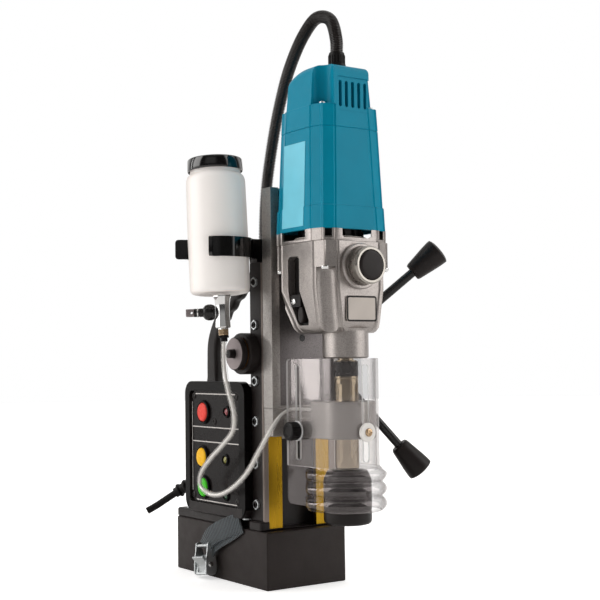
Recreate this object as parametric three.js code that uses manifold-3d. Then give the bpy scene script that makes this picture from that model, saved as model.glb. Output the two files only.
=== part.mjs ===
// A magnetic drill press, built in millimetres with +Z up.
// The origin is the centre of the magnet's bottom face. +X is the machine's right,
// -Y is the drill side and +Y the side with the control housing and carry handle.
import * as THREE from 'three';
import { mergeVertices } from 'three/addons/utils/BufferGeometryUtils.js';
import Module from 'manifold-3d';

const wasm = await Module();
wasm.setup();

// ---------------------------------------------------------------- driving dimensions
const GAP = 0.3;

const magnet = { halfX: 51, halfY: 95.5, top: 60 };
const flange = { top: 70, front: -84 };
const column = { halfX: 45, front: -82.5, back: -58, top: 345, foot: 62 };
const gib = { inner: 22, outer: 39.5, back: -77.5 };
const tee = { halfX: 29.5, front: -77.1, back: -69.5, neck: 21.6 };

const rackModule = 2;
const pinionTeeth = 12;
const pinionRadius = rackModule * pinionTeeth / 2;
const pinion = { y: -56, z: 247.5, left: -72, right: 50 };
const rackPitchY = pinion.y - pinionRadius;

const housing = { halfX: 45, front: -58, back: 67, top: 212, wall: 4 };
const rim = { outer: -55, front: -60, back: 67, top: 217 };
const panel = { x: -52.5, thick: 3, front: -48, back: 57, bottom: 81.5, top: 206.4 };

const ledge = { side: 5, end: 6 };

const slide = { halfX: 45, back: -83, front: -100, bottom: 190, top: 423 };
const spindle = { y: -168.4, radius: 12.4, bottom: 127 };
const bracket = { bottom: 160, shelf: 178, top: 197.5, nose: 29.8, bossBack: -147 };

const gearbox = { halfX: 44, front: -193, back: -101, bottom: 267, top: 359.5, wall: 4 };
const neck = { radius: 23.6, bottom: 241 };
const cover = { top: 372 };
const motor = { y: -145, jointZ: 476.5, top: 541, halfLow: 44.5, halfHigh: 40 };

const gland = { y: -160, radius: 9.5, top: 559 };
const conduitFootY = -22;

const guard = { radius: 33, back: -108, bottom: 131, top: 241, thick: 2.4 };
const skirt = { bottom: 87, rings: 3, wave: 4.5, reach: 38 };
const clampZ = 167;
const slot = { y: -128, half: 4, bottom: 137, top: 235 };

const bottle = { x: -81, y: -53, bottom: 311, radius: 32.5, height: 150, capHeight: 13.5, lean: 2.4 };
const clip = { bottom: 355, top: 376, inner: 33.2, outer: 37 };

const capstan = { x: 46, slope: Math.atan2(104, 145), reach: 178.4, knobLength: 40 };
const spokeAngles = [51.6, 171.6, -68.4];

// ---------------------------------------------------------------- materials
const finish = (color, roughness, metalness) =>
  new THREE.MeshStandardMaterial({ color, roughness, metalness });
const castIron = () => finish(0x1d1b1b, 0.5, 0.3);
const magnetSteel = () => finish(0x2d2828, 0.6, 0.4);
const steel = () => finish(0xb9b6ae, 0.3, 0.9);
const brass = () => finish(0xc8962c, 0.4, 0.8);
const copper = () => finish(0xa8562a, 0.4, 0.8);
const silverPaint = () => finish(0xb9b2ac, 0.45, 0.4);
const hammered = () => finish(0x8c8986, 0.5, 0.4);
const tealPlastic = () => finish(0x008195, 0.45, 0);
const blackPlastic = () => finish(0x161616, 0.5, 0);
const clearPlastic = () => finish(0xdfe6ea, 0.1, 0);
const rubber = () => finish(0x1c1c1d, 0.8, 0);
const chrome = () => finish(0xd9dbdd, 0.1, 1);
const zinc = () => finish(0xb4bec4, 0.35, 0.8);

// ---------------------------------------------------------------- solid helpers
function toSolid(geometry) {
  const bare = geometry.clone();
  bare.deleteAttribute('normal');
  bare.deleteAttribute('uv');
  const merged = mergeVertices(bare, 1e-4);
  return new wasm.Manifold(new wasm.Mesh({
    numProp: 3,
    vertProperties: new Float32Array(merged.attributes.position.array),
    triVerts: new Uint32Array(merged.index.array),
  }));
}

function toGeometry(solid) {
  const mesh = solid.getMesh();
  const geometry = new THREE.BufferGeometry();
  geometry.setAttribute('position', new THREE.BufferAttribute(mesh.vertProperties, 3));
  geometry.setIndex(new THREE.BufferAttribute(mesh.triVerts, 1));
  geometry.computeVertexNormals();
  return geometry;
}

const join = (...solids) => solids.reduce((whole, piece) => whole.add(piece));
const cut = (body, ...tools) => tools.reduce((whole, tool) => whole.subtract(tool), body);

function block(x, y, z) {
  const box = new THREE.BoxGeometry(x[1] - x[0], y[1] - y[0], z[1] - z[0]);
  box.translate((x[0] + x[1]) / 2, (y[0] + y[1]) / 2, (z[0] + z[1]) / 2);
  return toSolid(box);
}

// Each axis takes its outline in the two axes that follow it: x in (y, z), y in (x, z), z in (x, y).
const X = new THREE.Vector3(1, 0, 0);
const Y = new THREE.Vector3(0, 1, 0);
const Z = new THREE.Vector3(0, 0, 1);
const outlineBases = {
  x: new THREE.Matrix4().makeBasis(Y, Z, X),
  y: new THREE.Matrix4().makeBasis(X, Z, Y.clone().negate()),
  z: new THREE.Matrix4(),
};

function prism(axis, shape, from, to, { bevel = 0, curveSegments = 4 } = {}) {
  const geometry = new THREE.ExtrudeGeometry(shape, {
    depth: to - from - 2 * bevel,
    bevelEnabled: bevel > 0,
    bevelSize: bevel,
    bevelThickness: bevel,
    bevelOffset: -bevel,
    bevelSegments: 1,
    curveSegments,
  });
  geometry.applyMatrix4(outlineBases[axis]);
  const start = axis === 'y' ? to - bevel : from + bevel;
  const shift = { x: 0, y: 0, z: 0, [axis]: start };
  geometry.translate(shift.x, shift.y, shift.z);
  return toSolid(geometry);
}

function roundedRect(u0, u1, v0, v1, radius) {
  const shape = new THREE.Shape();
  shape.absarc(u1 - radius, v0 + radius, radius, -Math.PI / 2, 0);
  shape.absarc(u1 - radius, v1 - radius, radius, 0, Math.PI / 2);
  shape.absarc(u0 + radius, v1 - radius, radius, Math.PI / 2, Math.PI);
  shape.absarc(u0 + radius, v0 + radius, radius, Math.PI, 1.5 * Math.PI);
  return shape;
}

function polygon(points) {
  return new THREE.Shape(points.map(([u, v]) => new THREE.Vector2(u, v)));
}

// A surface of revolution about Z from (radius, z) pairs that end on the axis or close on themselves.
function latheGeometry(profile, segments) {
  const points = profile.map(([radius, z]) => new THREE.Vector2(radius, z));
  if (THREE.ShapeUtils.area(points) < 0) {
    points.reverse();
  }
  const lathe = new THREE.LatheGeometry(points, segments);
  lathe.rotateX(Math.PI / 2);
  return lathe;
}

function turned(profile, segments = 20) {
  return toSolid(latheGeometry(profile, segments));
}

function cylinder(radius, z0, z1, segments = 20) {
  return turned([[0, z0], [radius, z0], [radius, z1], [0, z1]], segments);
}

const alongX = (solid) => solid.rotate([0, 90, 0]);
const alongY = (solid) => solid.rotate([90, 0, 0]);

function swept(points, shape, steps, curveSegments = 4) {
  const extrudePath = new THREE.CatmullRomCurve3(points.map((p) => new THREE.Vector3(...p)));
  return toSolid(new THREE.ExtrudeGeometry(shape, { steps, extrudePath, curveSegments }));
}

function circle(radius) {
  const shape = new THREE.Shape();
  shape.absarc(0, 0, radius, 0, 2 * Math.PI);
  return shape;
}

// Corner-rounded rectangle as a list of points, the same count for every size.
function ring(x0, x1, y0, y1, radius, perCorner = 3) {
  const centres = [
    [x1 - radius, y0 + radius], [x1 - radius, y1 - radius],
    [x0 + radius, y1 - radius], [x0 + radius, y0 + radius],
  ];
  return centres.flatMap(([cx, cy], corner) =>
    Array.from({ length: perCorner + 1 }, (_, i) => {
      const angle = (corner - 1 + i / perCorner) * Math.PI / 2;
      return [cx + radius * Math.cos(angle), cy + radius * Math.sin(angle)];
    }));
}

// Stacks outlines of equal point count, given as {z, points}, into one closed solid.
function loft(sections) {
  const count = sections[0].points.length;
  const positions = sections.flatMap(({ z, points }) => points.flatMap(([x, y]) => [x, y, z]));
  const index = [];
  for (let level = 0; level < sections.length - 1; level++) {
    for (let i = 0; i < count; i++) {
      const a = level * count + i;
      const b = level * count + (i + 1) % count;
      index.push(a, b, b + count, a, b + count, a + count);
    }
  }
  const outline = (section) => section.points.map(([x, y]) => new THREE.Vector2(x, y));
  const last = (sections.length - 1) * count;
  for (const [a, b, c] of THREE.ShapeUtils.triangulateShape(outline(sections[0]), [])) {
    index.push(c, b, a);
  }
  for (const [a, b, c] of THREE.ShapeUtils.triangulateShape(outline(sections.at(-1)), [])) {
    index.push(last + a, last + b, last + c);
  }
  const geometry = new THREE.BufferGeometry();
  geometry.setAttribute('position', new THREE.Float32BufferAttribute(positions, 3));
  geometry.setIndex(index);
  return toSolid(geometry);
}

// A spur gear outline with straight flanks; a tooth is centred on toothAngle.
function gearShape(teeth, module, toothAngle) {
  const pitch = module * teeth / 2;
  const corners = [[-0.27, -1.15], [-0.1, 0.85], [0.1, 0.85], [0.27, -1.15]];
  const points = [];
  for (let tooth = 0; tooth < teeth; tooth++) {
    for (const [offset, height] of corners) {
      const angle = toothAngle + (tooth + offset) * 2 * Math.PI / teeth;
      const radius = pitch + height * module;
      points.push([radius * Math.cos(angle), radius * Math.sin(angle)]);
    }
  }
  return polygon(points);
}

const machine = new THREE.Group();

function place(name, solid, material, parent = machine) {
  const mesh = new THREE.Mesh(toGeometry(solid), material);
  mesh.name = name;
  parent.add(mesh);
  return mesh;
}

// ---------------------------------------------------------------- magnet
const coil = { centreY: 46, outerX: 40, outerY: 41, innerX: 26, innerY: 27, top: 34 };

function coilRing(centreY, clearance, bottom, top) {
  const outer = roundedRect(
    -coil.outerX - clearance, coil.outerX + clearance,
    centreY - coil.outerY - clearance, centreY + coil.outerY + clearance, 8);
  const hole = roundedRect(
    -coil.innerX + clearance, coil.innerX - clearance,
    centreY - coil.innerY + clearance, centreY + coil.innerY - clearance, 4);
  outer.holes.push(hole);
  return prism('z', outer, bottom, top, { curveSegments: 2 });
}

function buildMagnet() {
  const core = prism('z', roundedRect(-magnet.halfX, magnet.halfX, -magnet.halfY, magnet.halfY, 1.5),
    0, magnet.top, { bevel: 1, curveSegments: 2 });
  const grooves = [-coil.centreY, coil.centreY].map((y) => coilRing(y, 0, -1, coil.top));
  place('magnet_body', cut(core, ...grooves), magnetSteel());
  place('front_coil', coilRing(-coil.centreY, -GAP, 1.5, coil.top - GAP), copper());
  place('rear_coil', coilRing(coil.centreY, -GAP, 1.5, coil.top - GAP), copper());
}

// ---------------------------------------------------------------- frame
const boss = { radius: 22, left: -57, right: 46, bore: 14.6, capRadius: 17.6, capLeft: -65 };

function aboutPinion(solid) {
  return alongX(solid).translate([0, pinion.y, pinion.z]);
}

function buildFrame() {
  const base = prism('z', roundedRect(-magnet.halfX, magnet.halfX, flange.front, magnet.halfY, 3),
    magnet.top, flange.top, { bevel: 1.5, curveSegments: 2 });
  const strapRecess = cylinder(12, magnet.top - 1, flange.top + 1, 16)
    .scale([1, 1.6, 1]).translate([-magnet.halfX - 3, -44, 0]);
  const post = block([-column.halfX, column.halfX], [column.front, column.back],
    [magnet.top, column.top]);
  const pinionBoss = aboutPinion(cylinder(boss.radius, boss.left, boss.right));
  const bossWeb = block([-column.halfX, column.halfX], [column.back - 1, pinion.y + 4],
    [pinion.z - boss.radius, pinion.z + boss.radius]);
  const shell = block([-housing.halfX, housing.halfX], [housing.front - 1, housing.back],
    [magnet.top + 1, housing.top]);
  const rearBlock = prism('z', roundedRect(-30, 30, housing.back - 1, 90, 8), flange.top - 1, 205,
    { bevel: 2 });
  const rimOutline = roundedRect(rim.front, rim.back, flange.top - 0.5, rim.top, 14);
  const rimFrame = prism('x', rimOutline, rim.outer, -housing.halfX + 1, { bevel: 1.5 });

  const gibSeat = block([-gib.outer - GAP, gib.outer + GAP], [column.front - 5, gib.back + GAP],
    [column.foot - GAP, column.top + 5]);
  const teeSlot = block([-tee.halfX - 1, tee.halfX + 1], [gib.back - 1, rackPitchY + 3],
    [column.foot - GAP, column.top + 5]);
  const pinionBore = aboutPinion(cylinder(boss.bore, boss.left - 1, boss.right + 1));
  const panelSeat = prism('x', roundedRect(panel.front - GAP, panel.back + GAP,
    panel.bottom - GAP, panel.top + GAP, 6), rim.outer - 1, panel.x + panel.thick + GAP);
  const cavity = block([panel.x + panel.thick - 1, housing.halfX - housing.wall],
    [panel.front + ledge.side, panel.back - ledge.side],
    [panel.bottom + ledge.end, panel.top - ledge.end]);
  const serviceHole = block([housing.halfX - housing.wall - 1, housing.halfX + 1],
    [panel.front + 8, panel.back - 8], [panel.bottom + 9, panel.top - 9]);
  const casting = cut(join(base, post, pinionBoss, bossWeb, shell, rearBlock, rimFrame),
    strapRecess, gibSeat, teeSlot, pinionBore, panelSeat, cavity, serviceHole);
  place('frame_casting', casting, castIron());

  const sideCover = prism('x', roundedRect(panel.front + 2, panel.back - 2, panel.bottom + 3,
    panel.top - 3, 6), housing.halfX, housing.halfX + 3, { bevel: 1 });
  place('side_cover', sideCover, castIron());

  for (const [name, side] of [['left_gib_strip', -1], ['right_gib_strip', 1]]) {
    const span = [side * gib.inner, side * gib.outer].sort((a, b) => a - b);
    place(name, block(span, [column.front + 0.2, gib.back], [column.foot, column.top - 2]), brass());
  }
}

function buildHandle() {
  const grip = roundedRect(-6, 6, -11, 11, 4);
  const path = [
    [0, 91, 205.5], [0, 91, 240], [0, 89, 262], [0, 76, 284], [0, 52, 306],
    [0, 24, 324], [0, -12, 332], [0, -57.6, 333],
  ];
  const bar = swept(path, grip, 14, 1);
  const cableBoss = cylinder(11, 326, 344).translate([0, conduitFootY, 0]);
  const socket = cylinder(7.9, 340, 346).translate([0, conduitFootY, 0]);
  const foot = block([-12, 12], [84, 97], [205.3, 214]);
  const columnFoot = block([-16, 16], [column.back + GAP, column.back + 7], [322, column.top - 1]);
  place('carry_handle', cut(join(bar, cableBoss, foot, columnFoot), socket), castIron());
}

function buildPinionBearings() {
  const shaftRoom = 8.3;
  const stubRoom = 4.9;
  const cap = turned([
    [stubRoom, boss.capLeft], [boss.capRadius, boss.capLeft], [boss.capRadius, boss.left - GAP],
    [boss.bore - GAP, boss.left - GAP], [boss.bore - GAP, -44], [shaftRoom, -44],
    [shaftRoom, boss.left], [stubRoom, boss.left], [stubRoom, boss.capLeft],
  ]);
  place('left_bearing_cap', aboutPinion(cap), castIron());
  const bush = turned([
    [shaftRoom, 33], [boss.bore - GAP, 33], [boss.bore - GAP, boss.right + 1],
    [shaftRoom, boss.right + 1], [shaftRoom, 33],
  ]);
  place('right_bearing_bush', aboutPinion(bush), brass());
}

// ---------------------------------------------------------------- control panel
const buttons = [
  { name: 'red_button', y: 28.8, z: 182.7, color: 0xf2554a },
  { name: 'yellow_button', y: 31.9, z: 132, color: 0xffb400 },
  { name: 'green_button', y: 29.1, z: 98.6, color: 0x3fd01a },
];
const lamps = [
  { name: 'power_lamp', y: -20.4, z: 184.1, color: 0x7a1512 },
  { name: 'magnet_lamp', y: -17.1, z: 131.6, color: 0x7d7a2c },
  { name: 'motor_lamp', y: -17.7, z: 93, color: 0x14532a },
];
const buttonRadius = 10.5;
const lampRadius = 4.5;

function buildPanel() {
  const inner = panel.x + panel.thick;
  const plate = prism('x', roundedRect(panel.front, panel.back, panel.bottom, panel.top, 6),
    panel.x, inner);
  const atX = (solid, { y, z }) => alongX(solid).translate([0, y, z]);
  const holeFor = (radius, segments) => cylinder(radius + GAP, panel.x - 1, inner + 1, segments);
  const buttonHoles = buttons.map((button) => atX(holeFor(buttonRadius, 20), button));
  const lampHoles = lamps.map((lamp) => atX(holeFor(lampRadius, 12), lamp));
  place('control_panel', cut(plate, ...buttonHoles, ...lampHoles), blackPlastic());
  for (const button of buttons) {
    const body = cylinder(buttonRadius, panel.x - 4, inner + 4);
    const stem = cylinder(4, inner + 3, inner + 14, 12);
    place(button.name, atX(join(body, stem), button), finish(button.color, 0.4, 0));
  }
  for (const lamp of lamps) {
    const lens = turned([
      [0, panel.x - 2], [2.6, panel.x - 1.6], [lampRadius, panel.x], [lampRadius, inner + 2],
      [0, inner + 2],
    ], 12);
    place(lamp.name, atX(lens, lamp), finish(lamp.color, 0.2, 0));
  }
  const board = block([-31, -29], [panel.front + ledge.side + GAP, panel.back - ledge.side - GAP],
    [panel.bottom + ledge.end + GAP, panel.top - ledge.end - GAP]);
  place('circuit_board', board, finish(0x1c5a2e, 0.5, 0));
}

// ---------------------------------------------------------------- cord and strap
function buildCord() {
  const relief = [[-22, 90, 97], [-26, 99, 95], [-34, 109, 90], [-41, 117, 84]];
  const rearBlockFace = block([-50, 10], [housing.back, 90 + GAP], [housing.wall, rim.top]);
  const ribs = [0.12, 0.3, 0.48, 0.66].map((t, i) => {
    const curve = new THREE.CatmullRomCurve3(relief.map((p) => new THREE.Vector3(...p)));
    const at = curve.getPoint(t);
    const heading = curve.getTangent(t);
    const bead = new THREE.CylinderGeometry(8.6 - 0.7 * i, 9.2 - 0.7 * i, 3, 10);
    bead.applyQuaternion(new THREE.Quaternion().setFromUnitVectors(Y, heading));
    bead.translate(at.x, at.y, at.z);
    return toSolid(bead);
  });
  const boot = join(swept(relief, circle(6.2), 8), ...ribs);
  place('cord_strain_relief', cut(boot, rearBlockFace), rubber());
  const cord = [[-41.3, 117.3, 83.7], [-49, 124, 77], [-58, 130, 70], [-69, 136, 63]];
  place('power_cord', swept(cord, circle(4.3), 12), rubber());
}

function buildStrap() {
  const path = [[-53, -46, 66], [-55, -36, 61], [-56, -20, 53], [-56, -6, 44], [-56, 4, 37]];
  const webbing = swept(path, polygon([[-1, -11], [1, -11], [1, 11], [-1, 11]]), 14);
  const sideOfMachine = block([-magnet.halfX - GAP, 0], [-magnet.halfY, magnet.halfY], [0, rim.top]);
  const underRim = block([-60, 0], [-magnet.halfY, magnet.halfY], [flange.top - 1, rim.top]);
  place('safety_strap', cut(webbing, sideOfMachine, underRim), finish(0x12212b, 0.85, 0));
}

function buildBuckle() {
  const buckle = new THREE.Group();
  buckle.position.set(-58, 17, 17.5);
  buckle.rotation.x = -0.22;
  machine.add(buckle);
  const cheek = polygon([[-7, -14], [4, -14], [5, -6], [2, 16], [-3, 16], [-6, 2]]);
  const cheeks = [[-12, -10.6], [10.6, 12]].map(([a, b]) => prism('y', cheek, a, b));
  const backPlate = block([2, 3.6], [-12, 12], [-6, 4]);
  const tieBar = alongY(cylinder(1.6, -11, 11, 10)).translate([-1, 0, 13]);
  const pinHoles = alongY(cylinder(1.7, -13, 13, 12)).translate([-1.5, 0, -4]);
  const frame = cut(join(...cheeks, backPlate, tieBar), pinHoles);
  place('buckle_frame', frame, zinc(), buckle);
  const lever = polygon([
    [-6.5, -13], [-5, -13.5], [-0.5, -6.6], [0, -1.5], [-3, 0], [-8, 3.6], [-9, 2.6], [-5, -3],
  ]);
  const pin = alongY(cylinder(1.4, -12, 12, 12)).translate([-1.5, 0, -4]);
  place('buckle_cam', join(prism('y', lever, -10.2, 10.2), pin), zinc(), buckle);
}

// ---------------------------------------------------------------- coolant bottle
function buildBottle() {
  const stand = new THREE.Group();
  stand.position.set(bottle.x, bottle.y, bottle.bottom);
  stand.rotation.x = THREE.MathUtils.degToRad(-bottle.lean);
  machine.add(stand);
  const r = bottle.radius;
  const capZ = bottle.height - bottle.capHeight;
  const wall = 1.6;
  place('coolant_bottle', turned([
    [0, 0], [r - 6, 0], [r - 1.6, 2], [r, 7], [r, capZ - 8], [r - 4, capZ - 2], [r - 4, capZ + 8],
    [r - 4 - wall, capZ + 8], [r - 4 - wall, capZ - 2], [r - wall, capZ - 9], [r - wall, 7],
    [r - 6, wall], [0, wall],
  ], 20), finish(0xe9e4de, 0.35, 0), stand);
  place('bottle_cap', turned([
    [0, bottle.height], [28.4, bottle.height], [29.7, bottle.height - 1.4], [29.7, capZ],
    [r - 4 + 3 * GAP, capZ], [r - 4 + 3 * GAP, bottle.height - 3], [0, bottle.height - 3],
  ], 20), blackPlastic(), stand);
  place('tap_body', turned([
    [0, -GAP], [10, -GAP], [10, -3], [8.6, -6], [8.2, -30], [6.5, -38], [0, -38],
  ], 12), chrome(), stand);
  place('hose_fitting', turned([
    [0, -38.3], [5.6, -38.3], [5.6, -44.5], [4.2, -46], [4.2, -50], [0, -50],
  ], 6), brass(), stand);
  const valve = new THREE.Group();
  valve.position.set(0, 0, -19);
  valve.rotation.z = THREE.MathUtils.degToRad(145);
  stand.add(valve);
  const nut = alongX(turned([[0, 9], [8.5, 9], [8.5, 20], [5, 21], [0, 21]], 8));
  const barrel = alongX(cylinder(4, 18, 31, 16));
  const paddle = block([30, 39], [-8, 8], [-3.6, 3.6]);
  place('tap_lever', join(nut, barrel, paddle), blackPlastic(), valve);
}

function buildClip() {
  const mouth = THREE.MathUtils.degToRad(38);
  const arc = new THREE.Shape();
  arc.absarc(0, 0, clip.outer, Math.PI + mouth, 3 * Math.PI - mouth);
  arc.absarc(0, 0, clip.inner, 3 * Math.PI - mouth, Math.PI + mouth, true);
  const band = prism('z', arc, clip.bottom, clip.top, { curveSegments: 14 });
  const lip = (side) => {
    const angle = Math.PI + side * (mouth - 0.02);
    const tab = block([clip.inner + 0.2, clip.inner + 13], [-2, 2], [clip.bottom, clip.top]);
    return tab.rotate([0, 0, THREE.MathUtils.radToDeg(angle)]);
  };
  const midHeight = (clip.bottom + clip.top) / 2 - bottle.bottom;
  const axisY = bottle.y + midHeight * Math.tan(THREE.MathUtils.degToRad(bottle.lean));
  const arms = join(band, lip(1), lip(-1)).translate([bottle.x, axisY, 0]);
  const bore = cylinder(clip.inner, clip.bottom - 1, clip.top + 1, 28).translate([bottle.x, axisY, 0]);
  const backArm = block([-50, -tee.halfX - 2], [-73, -44], [clip.bottom, clip.top]);
  const leg = block([-column.halfX, -tee.halfX - 2], [-73, column.back], [column.top + GAP, clip.top]);
  place('bottle_clip', join(arms, cut(join(backArm, leg), bore)), finish(0x0c0c0c, 0.15, 0));
}

function buildHose() {
  const path = [
    [-81, -57, 259.5], [-81, -58, 236], [-80, -64, 214.6], [-78, -76, 185], [-77, -72.5, 167.6],
    [-75, -48, 150.6], [-73, -17, 132.8], [-71, 6, 114.9], [-69, 10.5, 103.6], [-68, -3, 96],
    [-67, -26, 95.5], [-65, -51, 104.7], [-62, -75, 122], [-57, -92, 146], [-51, -104, 167],
    [-38, -103.9, 182], [-28, -104.2, 187.5], [-24, -111, 188.7], [-24, -146.5, 188.7],
  ];
  place('coolant_hose', swept(path, circle(3.15), 44, 3), clearPlastic());
}

// ---------------------------------------------------------------- capstan
function buildCapstan() {
  const shaftRadius = 8;
  const gear = prism('z', gearShape(pinionTeeth, rackModule, 0), -8.5, 8.5)
    .rotate([0, 0, 90 + 180 / pinionTeeth]);
  const shaft = turned([
    [0, pinion.left], [4.5, pinion.left], [4.5, boss.left + 1], [shaftRadius, boss.left + 2],
    [shaftRadius, pinion.right + 8], [0, pinion.right + 8],
  ], 16);
  place('pinion_shaft', aboutPinion(join(shaft, gear)), steel());

  const hub = turned([
    [0, 60], [0, 76], [10, 76], [17, 71], [19.5, 66], [19.5, 52], [17, 48.5], [shaftRadius + GAP, 48.5],
    [shaftRadius + GAP, 60], [0, 60],
  ], 24);
  const wheel = new THREE.Group();
  wheel.position.set(capstan.x, pinion.y, pinion.z);
  machine.add(wheel);
  const spokeStart = 17;
  const knobStart = capstan.reach - capstan.knobLength;
  const socketDepth = 18;
  const spokes = spokeAngles.map((degrees) => {
    const angle = THREE.MathUtils.degToRad(degrees);
    const outward = new THREE.Vector3(Math.sin(capstan.slope),
      -Math.cos(capstan.slope) * Math.cos(angle), Math.cos(capstan.slope) * Math.sin(angle));
    return new THREE.Quaternion().setFromUnitVectors(Z, outward);
  });
  const oriented = (profile, quaternion) =>
    toSolid(latheGeometry(profile, 12).applyQuaternion(quaternion));
  const spokeRadius = 4.9;
  const socketRadius = spokeRadius + GAP;
  const rod = (radius, from, to) => [[0, from], [radius, from], [radius, to], [0, to]];
  const sockets = spokes.map((q) => oriented(rod(socketRadius, spokeStart - GAP, 60), q));
  const hubAtWheel = aboutPinion(hub).translate([-capstan.x, -pinion.y, -pinion.z]);
  place('capstan_hub', cut(hubAtWheel, ...sockets), castIron(), wheel);
  const rodEnd = knobStart + socketDepth;
  const end = capstan.reach;
  const knobProfile = [
    [socketRadius, rodEnd], [socketRadius, knobStart], [9, knobStart], [10.2, knobStart + 1.5],
    [12.5, knobStart + 16], [15.3, end - 10], [15.5, end - 6], [13.5, end - 1.5], [9, end], [0, end],
    [0, rodEnd], [socketRadius, rodEnd],
  ];
  spokes.forEach((q, i) => {
    const spoke = oriented(rod(spokeRadius, spokeStart, rodEnd - GAP), q);
    place(`spoke_${i + 1}`, spoke, castIron(), wheel);
    place(`knob_${i + 1}`, oriented(knobProfile, q), blackPlastic(), wheel);
  });
}

// ---------------------------------------------------------------- slide, rack and bracket
function buildSlide() {
  const plate = block([-slide.halfX, slide.halfX], [slide.front, slide.back], [slide.bottom, slide.top]);
  const recess = block([-slide.halfX + 10, slide.halfX - 10], [slide.front - 1, slide.front + 5],
    [slide.bottom - 1, slide.top + 1]);
  const pitch = Math.PI * rackModule;
  const span = [-14, 13];
  const rackEnds = span.map((tooth) => pinion.z + (tooth + 0.5 * Math.sign(tooth)) * pitch);
  const tongueZ = [rackEnds[0], slide.top - 6];
  const neckBack = tee.front + 1;
  const neckX = [-tee.neck, tee.neck];
  const upperNeck = block(neckX, [slide.back - 1, neckBack], [slide.bottom, tongueZ[1]]);
  const lowerNeck = block(neckX, [slide.back + GAP, neckBack], [tongueZ[0], slide.bottom + 1]);
  const tongue = block([-tee.halfX, tee.halfX], [tee.front, tee.back], tongueZ);
  const rackSeat = block([-9.3, 9.3], [tee.back - 5.5, tee.back + 1], [rackEnds[0] - 1, rackEnds[1] + GAP]);
  place('head_slide', cut(join(cut(plate, recess), upperNeck, lowerNeck, tongue), rackSeat), hammered());

  const rackBack = tee.back - 5.5 + GAP;
  const root = rackPitchY - 1.2 * rackModule;
  const tip = rackPitchY + 0.9 * rackModule;
  const outline = [[rackBack, rackEnds[0]], [root, rackEnds[0]]];
  for (let tooth = span[0]; tooth <= span[1]; tooth++) {
    const z = pinion.z + tooth * pitch;
    for (const [x, offset] of [[root, -0.36], [tip, -0.13], [tip, 0.13], [root, 0.36]]) {
      outline.push([x, z + offset * pitch]);
    }
  }
  outline.push([root, rackEnds[1]], [rackBack, rackEnds[1]]);
  place('rack', prism('x', polygon(outline), -9, 9), steel());
}

function atSpindle(solid) {
  return solid.translate([0, spindle.y, 0]);
}

function noseShape(halfX, front, back) {
  const shape = new THREE.Shape();
  shape.moveTo(halfX, back);
  shape.lineTo(halfX, front);
  shape.absarc(0, front, halfX, 0, -Math.PI, true);
  shape.lineTo(-halfX, back);
  return shape;
}

function buildBracket() {
  const across = [-slide.halfX, slide.halfX];
  const foot = block(across, [slide.front, slide.back], [bracket.bottom, slide.bottom]);
  const nose = (back, bottom, top) =>
    prism('z', noseShape(bracket.nose, spindle.y, back), bottom, top, { curveSegments: 10 });
  const arm = nose(slide.front + 1, bracket.bottom, bracket.shelf);
  const collar = nose(bracket.bossBack, bracket.shelf - 1, bracket.top);
  const bearingSeat = atSpindle(cylinder(21, bracket.bottom + 4, bracket.top + 1));
  const shaftHole = atSpindle(cylinder(spindle.radius + 1.2, bracket.bottom - 1, bracket.top));
  const knobHole = alongX(cylinder(3.3, -bracket.nose - 1, -bracket.nose + 9, 12));
  const screwHole = alongY(cylinder(2.8, 0, 12, 12));
  const holes = [
    bearingSeat, shaftHole, knobHole.translate([0, slot.y, clampZ]),
    screwHole.translate([0, spindle.y - bracket.nose + 8, clampZ]),
  ];
  place('arbor_bracket', cut(join(foot, arm, collar), ...holes), hammered());

  const bearing = {
    bore: spindle.radius + 0.5, outer: 20.7, bottom: bracket.bottom + 4.3, top: bracket.top - 1,
  };
  place('arbor_bearing', atSpindle(turned([
    [bearing.bore, bearing.bottom], [bearing.outer, bearing.bottom], [bearing.outer, bearing.top],
    [bearing.bore, bearing.top], [bearing.bore, bearing.bottom],
  ])), steel());
}

// ---------------------------------------------------------------- gearbox
const armatureTeeth = 8;
const layGearTeeth = 36;
const layPinionTeeth = 10;
const spindleGearTeeth = 26;
const fastModule = 1;
const slowModule = 1.25;
const train = { fastZ: [338, 346], slowZ: [296, 310] };

function layShaftCentre() {
  const fast = (armatureTeeth + layGearTeeth) * fastModule / 2;
  const slow = (layPinionTeeth + spindleGearTeeth) * slowModule / 2;
  const apart = motor.y - spindle.y;
  const back = (fast ** 2 - slow ** 2 + apart ** 2) / (2 * apart);
  return { x: Math.sqrt(fast ** 2 - back ** 2), y: motor.y - back };
}
const lay = layShaftCentre();

const selector = { z: 334, tip: -215, ringRadius: 23, collarRadius: 18.9, capRadius: 14.8 };

function gearboxSections(inset) {
  const half = gearbox.halfX - inset;
  const front = gearbox.front + inset;
  const back = gearbox.back - inset;
  return [
    { z: gearbox.bottom + inset, points: ring(-half + 8, half - 8, front + 5, back - 22, 8) },
    { z: gearbox.bottom + inset + 6, points: ring(-half + 3, half - 3, front + 1, back - 18, 10) },
    { z: gearbox.bottom + 45, points: ring(-half, half, front, back, 12) },
    { z: gearbox.top, points: ring(-half, half, front, back, 12) },
  ];
}

function aboutSelector(solid) {
  return alongY(solid).translate([0, 0, selector.z]);
}

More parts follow.
